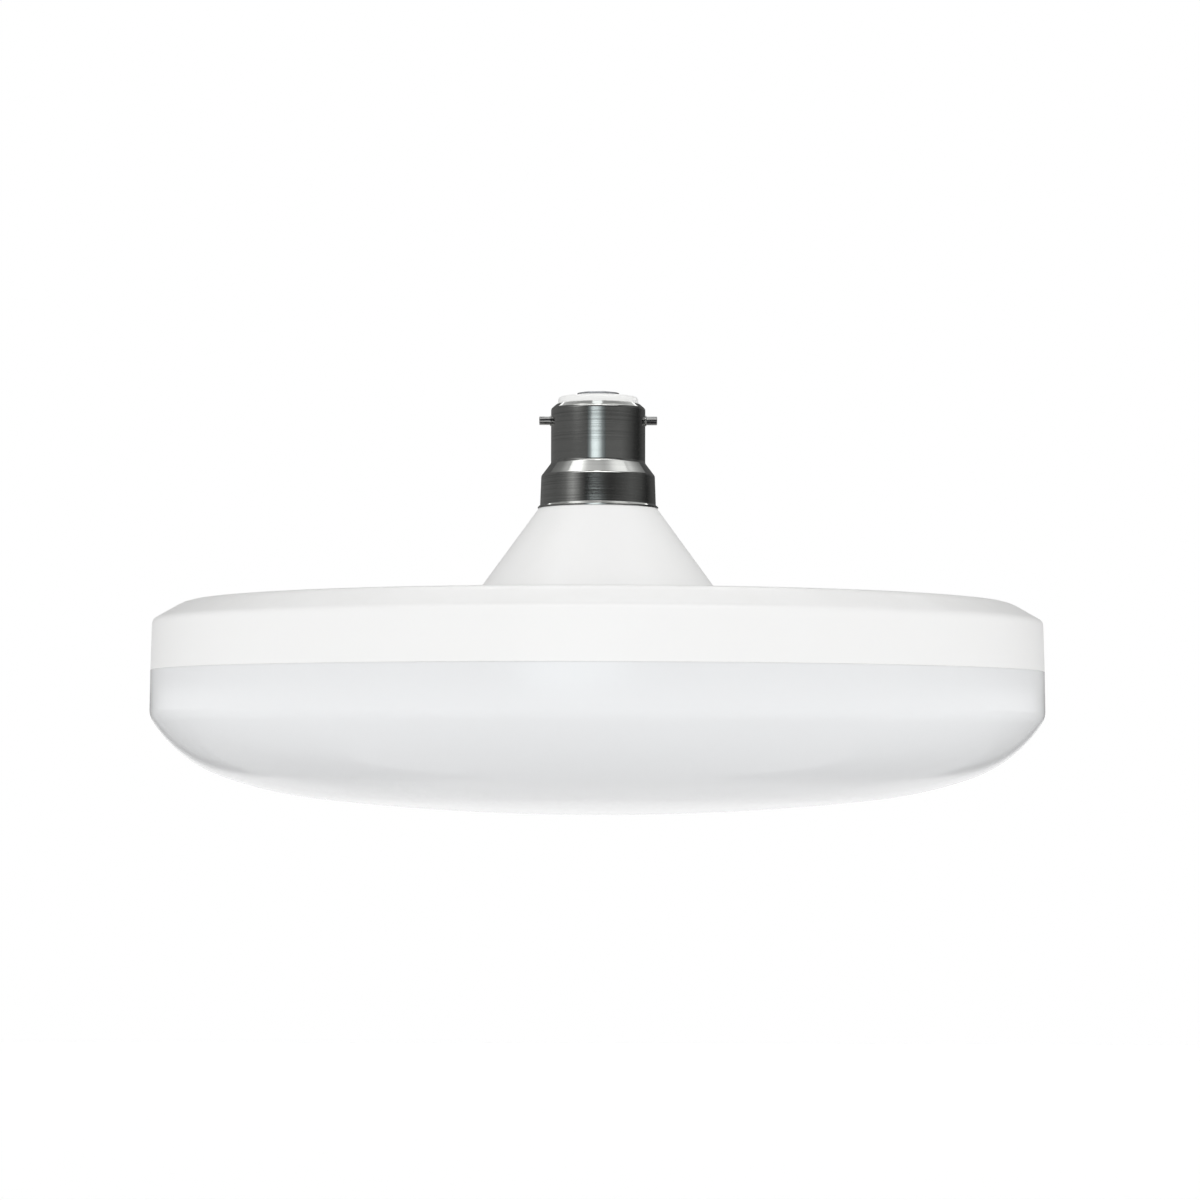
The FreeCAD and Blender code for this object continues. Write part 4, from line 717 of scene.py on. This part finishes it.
# Each painted ring of the resistor: its middle along the body in millimetres, and its paint
RESISTOR_RINGS = (
    (-2.2, colour(0.05, 0.04, 0.03)), (-1.0, colour(0.45, 0.2, 0.03)),
    (0.2, colour(0.03, 0.03, 0.03)), (2.0, colour(0.5, 0.36, 0.08)),
)
RING_INNER, RING_OUTER = 0.3, 0.38  # half widths between which a ring's paint fades out


def capacitor_sleeve(centre):
    """Shrunk sleeve: glossy, with a pale stripe down the side of the negative leg."""
    finish = Finish("black_sleeve", centre=centre)
    grained = finish.use("grain", Colour=colour(0.03, 0.03, 0.035), Tint=colour(0.05, 0.05, 0.06),
                         Clouding=0.6, Grains_per_metre=1500.0, Roughness=0.28, Spread=0.08)
    x, y, _ = parts_of(finish.tree, finish.place)
    side = calc(finish.tree, "ABSOLUTE", calc(finish.tree, "ARCTAN2", y, x))
    stripe = calc(finish.tree, "LESS_THAN", side, STRIPE_HALF_ANGLE)
    tone = blend_colour(finish.tree, stripe, grained["Colour"], colour(0.55, 0.56, 0.55))
    return finish.done(tone, grained["Roughness"], grained["Height"], 0.01)


def laminate(name, mask, track, tracks, **constants):
    """A printed board: tracks that show through the solder mask."""
    finish = Finish(name, **constants)
    pattern = finish.use("tracks", Mask=mask, Track=track, Tracks_per_metre=tracks)
    grained = finish.use("grain", Colour=pattern["Colour"], Tint=mask, Clouding=0.2,
                         Grains_per_metre=5000.0, Roughness=0.32, Spread=0.08)
    return finish.done(grained["Colour"], grained["Roughness"], pattern["Height"], 0.03)


def wound_wire(name, wire, varnish, centre, turns):
    """Enamelled wire in close turns: a wave along the winding's height, with varnish over it."""
    finish = Finish(name, centre=centre, Metallic=0.75)
    wave = put(finish.tree, "ShaderNodeTexWave", {
        "Vector": finish.place, "Scale": turns, "Distortion": 0.4, "Detail": 1.0,
    }, bands_direction="Z").outputs["Fac"]
    tone = blend_colour(finish.tree, wave, varnish, wire)
    grained = finish.use("grain", Colour=tone, Tint=varnish, Clouding=0.3,
                         Grains_per_metre=2000.0, Roughness=0.34, Spread=0.1)
    return finish.done(grained["Colour"], grained["Roughness"], wave, 0.08)


def banded_resistor(centre):
    """A lacquered body with painted rings along X."""
    finish = Finish("resistor_body", centre=centre)
    along = parts_of(finish.tree, finish.place)[0]
    tone = colour(0.44, 0.58, 0.55)
    for spot, paint in RESISTOR_RINGS:
        apart = calc(finish.tree, "ABSOLUTE", calc(finish.tree, "SUBTRACT", along, spot * MM))
        painted = ramp(finish.tree, apart, RING_OUTER * MM, RING_INNER * MM)
        tone = blend_colour(finish.tree, painted, tone, paint)
    grained = finish.use("grain", Colour=tone, Tint=tone, Clouding=0.0, Grains_per_metre=1500.0,
                         Roughness=0.25, Spread=0.1)
    return finish.done(grained["Colour"], grained["Roughness"], grained["Height"], 0.02)


def package_with_feet(name):
    """A moulded package: matt black above its feet's level, tinned metal below it."""
    finish = Finish(name)
    grained = finish.use("grain", Colour=colour(0.035, 0.035, 0.037), Tint=colour(0.06, 0.06, 0.06),
                         Clouding=0.5, Grains_per_metre=9000.0, Roughness=0.55, Spread=0.1)
    height = parts_of(finish.tree, finish.place)[2]
    foot = calc(finish.tree, "LESS_THAN", height, FEET_LEVEL * MM)
    tone = blend_colour(finish.tree, foot, grained["Colour"], colour(0.7, 0.7, 0.7))
    finish.wire(Metallic=foot)
    return finish.done(tone, grained["Roughness"], grained["Height"], 0.01)


def middle_of(node):
    """The middle of a node's box, in millimetres."""
    low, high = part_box(node)
    return [(low[axis] + high[axis]) / 2 / MM for axis in range(3)]


# Each slot inside: how it is made, its two colours, and what differs from the usual values
HELD_INSIDE = {
    "spreader_aluminium": (turned_metal, (0.8, 0.81, 0.82), (0.6, 0.61, 0.62), dict(
        roughness=0.38, spread=0.15, lines=1800.0, lines_depth=0.4)),
    "insulating_film": (moulded, (0.86, 0.84, 0.72), (0.8, 0.77, 0.62), dict(
        roughness=0.3, grain=900.0, depth=0.006)),
    "white_solder_mask": (laminate, (0.9, 0.9, 0.89), (0.84, 0.84, 0.83), dict(tracks=60.0)),
    "led_frame_white": (moulded, (0.92, 0.92, 0.9), (0.88, 0.88, 0.86), dict(
        roughness=0.3, grain=9000.0, depth=0.003)),
    "phosphor_yellow": (moulded, (0.93, 0.72, 0.16), (0.88, 0.6, 0.1), dict(
        roughness=0.45, grain=14000.0, clouding=0.7, depth=0.01)),
    "screw_steel": (turned_metal, (0.68, 0.68, 0.67), (0.45, 0.45, 0.44), dict(lines=4000.0)),
    "green_laminate": (laminate, (0.03, 0.22, 0.11), (0.07, 0.33, 0.16), dict(tracks=160.0)),
    "film_capacitor_red": (moulded, (0.42, 0.12, 0.07), (0.3, 0.08, 0.05), dict(
        roughness=0.22, grain=700.0, depth=0.02)),
    "varistor_blue": (moulded, (0.05, 0.16, 0.42), (0.04, 0.11, 0.32), dict(
        roughness=0.3, grain=600.0, depth=0.03)),
    "black_package": (moulded, (0.035, 0.035, 0.037), (0.06, 0.06, 0.06), dict(
        roughness=0.5, grain=6000.0, depth=0.008)),
    "copper_winding": (wound_wire, (0.75, 0.36, 0.14), (0.3, 0.1, 0.04), dict(
        centre=middle_of("transformer_winding"), turns=1100.0)),
    "ferrite": (moulded, (0.06, 0.06, 0.065), (0.1, 0.1, 0.1), dict(
        roughness=0.5, grain=5000.0, clouding=0.7, depth=0.015, Specular_IOR_Level=0.7)),
    "pin_brass": (turned_metal, (0.8, 0.68, 0.38), (0.5, 0.4, 0.2), dict(
        roughness=0.22, lines=3000.0)),
    "live_insulation": (moulded, (0.5, 0.05, 0.035), (0.42, 0.04, 0.03), dict(roughness=0.38)),
    "neutral_insulation": (moulded, (0.03, 0.03, 0.035), (0.05, 0.05, 0.055), dict(
        roughness=0.38)),
}
slot_finishes = {
    slot: make(slot, colour(*first), colour(*second), **settings)
    for slot, (make, first, second, settings) in HELD_INSIDE.items()
}
slot_finishes.update(
    cap_metal=cap_metal, pin_metal=pin_metal, insulator_white=insulator_white,
    tinned_contact=tinned_contact, housing_white=housing_white, diffuser_opal=diffuser_opal,
)
node_finishes = {
    "bulk_capacitor": capacitor_sleeve(middle_of("bulk_capacitor")),
    "output_capacitor": capacitor_sleeve(middle_of("output_capacitor")),
    "fusible_resistor": banded_resistor(middle_of("fusible_resistor")),
    "bridge_rectifier": package_with_feet("rectifier_package"),
    "driver_chip": package_with_feet("chip_package"),
}
slots = {part["node"]: part["material_slot"] for part in frame["record"]["subparts"]}
for node_name, node in frame["nodes"].items():
    finish = node_finishes.get(node_name) or slot_finishes[slots[node_name]]
    for material_slot in node.material_slots:
        material_slot.material = finish


# Pieces that stand for CAD nodes
pieces = [
    (make_cap_shell(cap_metal), "cap_shell"),
    (make_pin("cap_pin_left", -1, pin_metal), "bayonet_pin_left"),
    (make_pin("cap_pin_right", 1, pin_metal), "bayonet_pin_right"),
    (make_contact("solder_pad_front", -1, tinned_contact), "contact_front"),
    (make_contact("solder_pad_rear", 1, tinned_contact), "contact_rear"),
    (make_housing(housing_white), "housing"),
    (make_diffuser(diffuser_opal), "diffuser"),
]
for piece, node_name in pieces:
    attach(piece, "root")
    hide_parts(node_name)


# Floor, studio cards and lights, in metres
COOL = colour(0.88, 0.97, 1.0)
FLOOR_LEVEL, FLOOR_REACH, FLOOR_GLOW = -0.75, 6.0, 0.3
SHADE_LEVEL = -0.72       # of the cards that lie just over the floor
STAND_TOP = -0.11         # where the dark stands end and the back's foot starts
REACH, STRIP_REACH = 1.6, 1.4
CEILING, UNDER_CEILING, LAMP_LEVEL = 1.0, 0.99, 0.98


def make_glow():
    """A card's light: white or cool, as strong as the card's own attribute says at each point."""
    material = bpy.data.materials.new("studio_card")
    material.use_nodes = True
    tree = material.node_tree
    tree.nodes.clear()
    strength = put(tree, "ShaderNodeAttribute", attribute_name="strength").outputs["Fac"]
    cool = put(tree, "ShaderNodeAttribute", attribute_name="cool").outputs["Fac"]
    tone = blend_colour(tree, cool, WHITE, COOL)
    glow = put(tree, "ShaderNodeEmission", {"Color": tone, "Strength": strength})
    end = put(tree, "ShaderNodeOutputMaterial")
    tree.links.new(glow.outputs[0], end.inputs["Surface"])
    return material


def flat_mesh(name, points):
    """A mesh of one open grid of points, in metres."""
    mesh = bpy.data.meshes.new(name)
    faces = faces_of(*points.shape[:2], False, False, 0)
    mesh.from_pydata(points.reshape(-1, 3), [], faces.tolist())
    return mesh


def place_card(name, points, strength, cool):
    """A grid of points as a card that only shows in gloss."""
    mesh = flat_mesh(name, points)
    for label, values in (("strength", strength), ("cool", cool)):
        attribute = mesh.attributes.new(label, "FLOAT", "POINT")
        values = np.broadcast_to(values, points.shape[:2]).reshape(-1)
        attribute.data.foreach_set("value", values.astype(np.float32))
    mesh.materials.append(CARD_GLOW)
    card = bpy.data.objects.new(name, mesh)
    SCENE.collection.objects.link(card)
    for ray in ("camera", "diffuse", "transmission", "shadow"):
        setattr(card, "visible_" + ray, False)


def make_wall(name, stops, profile, cool=0.0):
    """A curved card round the lamp. Formula: azimuth a with the profile's distance d and height h
    goes to (d sin a, -d cos a, h), so azimuth 0 is on the camera's side. The strength runs
    straight from stop to stop, each an azimuth in degrees and a strength."""
    azimuths, strengths = np.array(stops).T
    turn = np.linspace(azimuths[0], azimuths[-1], 240)
    strength = np.interp(turn, azimuths, strengths)[:, None]
    swing = np.radians(turn)[:, None]
    distance, height = np.array(profile).T
    points = np.stack([
        distance * np.sin(swing), -distance * np.cos(swing), height + np.zeros_like(swing),
    ], axis=2)
    place_card(name, points, strength, cool)


def make_ceiling(name, stops, along, level, cool=0.0):
    """A flat overhead card. Formula: a rectangle at one level, with a strength that runs
    straight from stop to stop, each a place across X in metres and a strength."""
    places, strengths = np.array(stops).T
    across = np.linspace(places[0], places[-1], 120)
    strength = np.interp(across, places, strengths)[:, None]
    x, y = np.meshgrid(across, np.linspace(*along, 3), indexing="ij")
    place_card(name, np.stack([x, y, np.full_like(x, level)], axis=2), strength, cool)


def make_floor(level, reach):
    """The pale floor. Formula: a flat grid at one level, reach metres each way."""
    steps = np.linspace(-reach, reach, 9)
    across, along = np.meshgrid(steps, steps, indexing="ij")
    points = np.stack([across, along, np.full_like(across, level)], axis=2)
    mesh = flat_mesh("floor", points)
    material = bpy.data.materials.new("floor_white")
    material.use_nodes = True
    tree = material.node_tree
    shader = tree.nodes["Principled BSDF"]
    grain = put(tree, "ShaderNodeTexNoise", {"Scale": 3.0, "Detail": 2.0}).outputs[0]
    tone = blend_colour(tree, grain, colour(0.955, 0.955, 0.955), colour(0.965, 0.965, 0.965))
    tree.links.new(tone, shader.inputs["Base Color"])
    glow = calc(tree, "MULTIPLY", seen_straight(tree), FLOOR_GLOW)
    tree.links.new(glow, shader.inputs["Emission Strength"])
    shader.inputs["Emission Color"].default_value = WHITE
    shader.inputs["Roughness"].default_value = 0.8
    mesh.materials.append(material)
    floor = bpy.data.objects.new("floor", mesh)
    SCENE.collection.objects.link(floor)


CARD_GLOW = make_glow()
make_floor(FLOOR_LEVEL, FLOOR_REACH)

# Studio cards: strips of light and dark that the turned metal and the opal gloss mirror
make_wall("strip_light", [
    (-26.0, 0.17), (-19.0, 0.6), (-14.0, 1.7), (-8.0, 2.0), (-2.0, 1.85), (4.0, 1.2),
    (10.0, 0.5), (18.0, 0.18),
], [(STRIP_REACH, -0.05), (STRIP_REACH, 0.166)], 1.0)
make_wall("low_wall", [
    (-180.0, 0.1), (-150.0, 0.17), (-17.0, 0.17), (8.5, 0.18), (20.0, 0.2), (58.0, 0.2),
    (72.0, 0.15), (99.0, 0.05), (116.0, 0.03), (137.0, 0.09), (180.0, 0.1),
], [(REACH, 0.03), (REACH, 0.19)])
make_wall("low_edge", [
    (-180.0, 0.2), (-165.0, 0.3), (-150.0, 0.4), (-130.0, 0.3), (-118.0, 0.17), (-17.0, 0.17),
    (8.5, 0.18), (20.0, 0.2), (58.0, 0.2), (72.0, 0.15), (99.0, 0.05), (118.0, 0.1), (135.0, 0.3),
    (150.0, 0.4), (165.0, 0.3), (180.0, 0.2),
], [(REACH, -0.04), (REACH, 0.03)])
make_wall("high_wall", [
    (-180.0, 0.12), (-129.0, 0.15), (-94.0, 0.13), (-80.0, 0.17), (-68.0, 0.25), (-60.0, 0.45),
    (-52.0, 0.58), (-45.0, 0.42), (-34.0, 0.15), (-24.0, 0.03), (-14.0, 0.05), (6.0, 0.07),
    (26.0, 0.04), (37.0, 0.06), (58.0, 0.11), (70.0, 0.15), (97.0, 0.12), (113.0, 0.05),
    (134.0, 0.11), (180.0, 0.12),
], [(REACH, 0.19), (REACH, CEILING)])
make_wall("back_foot", [
    (118.0, 0.97), (135.0, 0.75), (150.0, 0.4), (165.0, 0.15), (180.0, 0.12), (195.0, 0.15),
    (210.0, 0.4), (225.0, 0.75), (242.0, 0.97),
], [(REACH, STAND_TOP), (REACH, -0.04)])
DARK_STAND = [
    (100.0, 0.85), (125.0, 0.62), (140.0, 0.42), (150.0, 0.38), (155.0, 0.42), (157.5, 0.3),
    (160.0, 0.25), (162.0, 0.5), (164.5, 0.88), (168.0, 0.97), (180.0, 0.99),
]
FLOOR_SHADE = [
    (100.0, 0.85), (125.0, 0.65), (139.0, 0.5), (145.0, 0.52), (152.0, 0.55), (160.0, 0.62),
    (164.0, 0.74), (170.0, 0.94), (180.0, 0.97),
]
for side, order in (("right", 1), ("left", -1)):
    for name, stops, profile in (
        ("back_stand_", DARK_STAND, [(REACH, STAND_TOP), (REACH, SHADE_LEVEL)]),
        ("floor_shade_", FLOOR_SHADE, [(REACH, SHADE_LEVEL), (0.5, SHADE_LEVEL)]),
    ):
        mirrored = [(order * azimuth, strength) for azimuth, strength in stops][::order]
        make_wall(name + side, mirrored, profile)
make_ceiling("softboxes", [
    (-REACH, 0.15), (-1.1, 0.17), (-0.95, 0.25), (-0.83, 0.4), (-0.74, 1.0), (-0.64, 1.9),
    (-0.56, 2.5), (-0.4, 2.5), (-0.33, 1.6), (-0.25, 1.1), (-0.15, 0.95), (0.0, 0.9), (0.15, 0.8),
    (0.25, 1.0), (0.35, 1.45), (0.45, 1.7), (0.62, 1.7), (0.74, 1.3), (0.83, 0.75), (0.95, 0.35),
    (1.1, 0.17), (REACH, 0.15),
], (-0.34, 0.17), CEILING)
make_ceiling("front_dark", [
    (-REACH, 0.14), (-0.13, 0.14), (-0.09, 1.8), (0.05, 1.8), (0.09, 0.14), (REACH, 0.14),
], (-0.76, -0.34), CEILING)
make_ceiling("front_softbox", [
    (-REACH, 0.2), (-0.9, 3.0), (0.9, 3.0), (REACH, 0.2),
], (-REACH, -0.76), CEILING)
make_ceiling("back_grey", [
    (-REACH, 0.15), (-1.1, 0.17), (-0.95, 0.25), (-0.83, 0.35), (-0.7, 0.8), (-0.6, 0.75),
    (-0.4, 0.6), (0.4, 0.6), (0.6, 1.0), (0.74, 1.2), (0.83, 0.75), (0.95, 0.35), (1.1, 0.17),
    (REACH, 0.15),
], (0.17, REACH), CEILING)
make_ceiling("back_pale", [
    (-0.42, 0.6), (-0.3, 2.5), (0.3, 2.5), (0.42, 0.6),
], (0.55, 1.25), UNDER_CEILING)
make_ceiling("back_end", [
    (-0.8, 0.6), (-0.65, 3.0), (0.65, 3.0), (0.8, 0.6),
], (1.25, REACH), UNDER_CEILING)
make_ceiling("overhead_lamp", [(-0.1, 2.2), (0.07, 2.2)], (-0.1, 0.5), LAMP_LEVEL, 0.3)


def make_key_light(place, target, width, height, power):
    """The one lamp: a soft rectangle in front and above, which gloss doesn't show."""
    light = bpy.data.lights.new("key_light", "AREA")
    light.shape = "RECTANGLE"
    light.size = width
    light.size_y = height
    light.energy = power
    lamp = bpy.data.objects.new("key_light", light)
    SCENE.collection.objects.link(lamp)
    lamp.location = place
    lamp.rotation_mode = "QUATERNION"
    lamp.rotation_quaternion = (Vector(target) - Vector(place)).to_track_quat("-Z", "Y")
    lamp.visible_glossy = False
    lamp.visible_camera = False


make_key_light((0.0, -1.5, 0.9), (0.0, 0.0, -0.05), 1.4, 1.0, 0.8)

# Strength of the soft light from the horizon and from overhead, and the rise at which it settles
HORIZON_GLOW, OVERHEAD_GLOW, GLOW_RISE = 2.02, 0.52, 0.6


def make_world():
    """White where it is seen or mirrored; for the light that falls on the lamp, a soft dome
    that is brightest round the horizon and weaker overhead."""
    world = bpy.data.worlds.new("studio")
    world.use_nodes = True
    SCENE.world = world
    tree = world.node_tree
    tree.nodes.clear()
    direction = put(tree, "ShaderNodeTexCoord").outputs["Generated"]
    rise = parts_of(tree, direction)[2]
    strength = ramp(tree, rise, 0.0, GLOW_RISE, HORIZON_GLOW, OVERHEAD_GLOW)
    soft, plain = [put(tree, "ShaderNodeBackground", {"Color": WHITE, "Strength": level}).outputs[0]
                   for level in (strength, 1.0)]
    mix = put(tree, "ShaderNodeMixShader", {0: seen_straight(tree), 1: soft, 2: plain})
    end = put(tree, "ShaderNodeOutputWorld")
    tree.links.new(mix.outputs[0], end.inputs["Surface"])


make_world()


# Camera, fitted to the photograph's frame of 1200 by 1200
IMAGE_SIZE = 1200
FOCAL_PIXELS = 3009.0
HORIZON_ROW = 737.05
ROLL = -0.14
camera_data = bpy.data.cameras.new("camera")
camera_data.type = "PERSP"
camera_data.sensor_width = 36.0
camera_data.lens = camera_data.sensor_width * FOCAL_PIXELS / IMAGE_SIZE
camera_data.clip_start = 0.01
camera_data.clip_end = 30.0
camera = bpy.data.objects.new("camera", camera_data)
SCENE.collection.objects.link(camera)
pitch = math.atan((HORIZON_ROW - IMAGE_SIZE / 2) / FOCAL_PIXELS)
camera.location = (0.6 * MM, -0.7, -73.76 * MM)
camera.rotation_euler = (math.pi / 2 + pitch, math.radians(ROLL), 0.0)
SCENE.camera = camera

SCENE.view_settings.view_transform = "Standard"
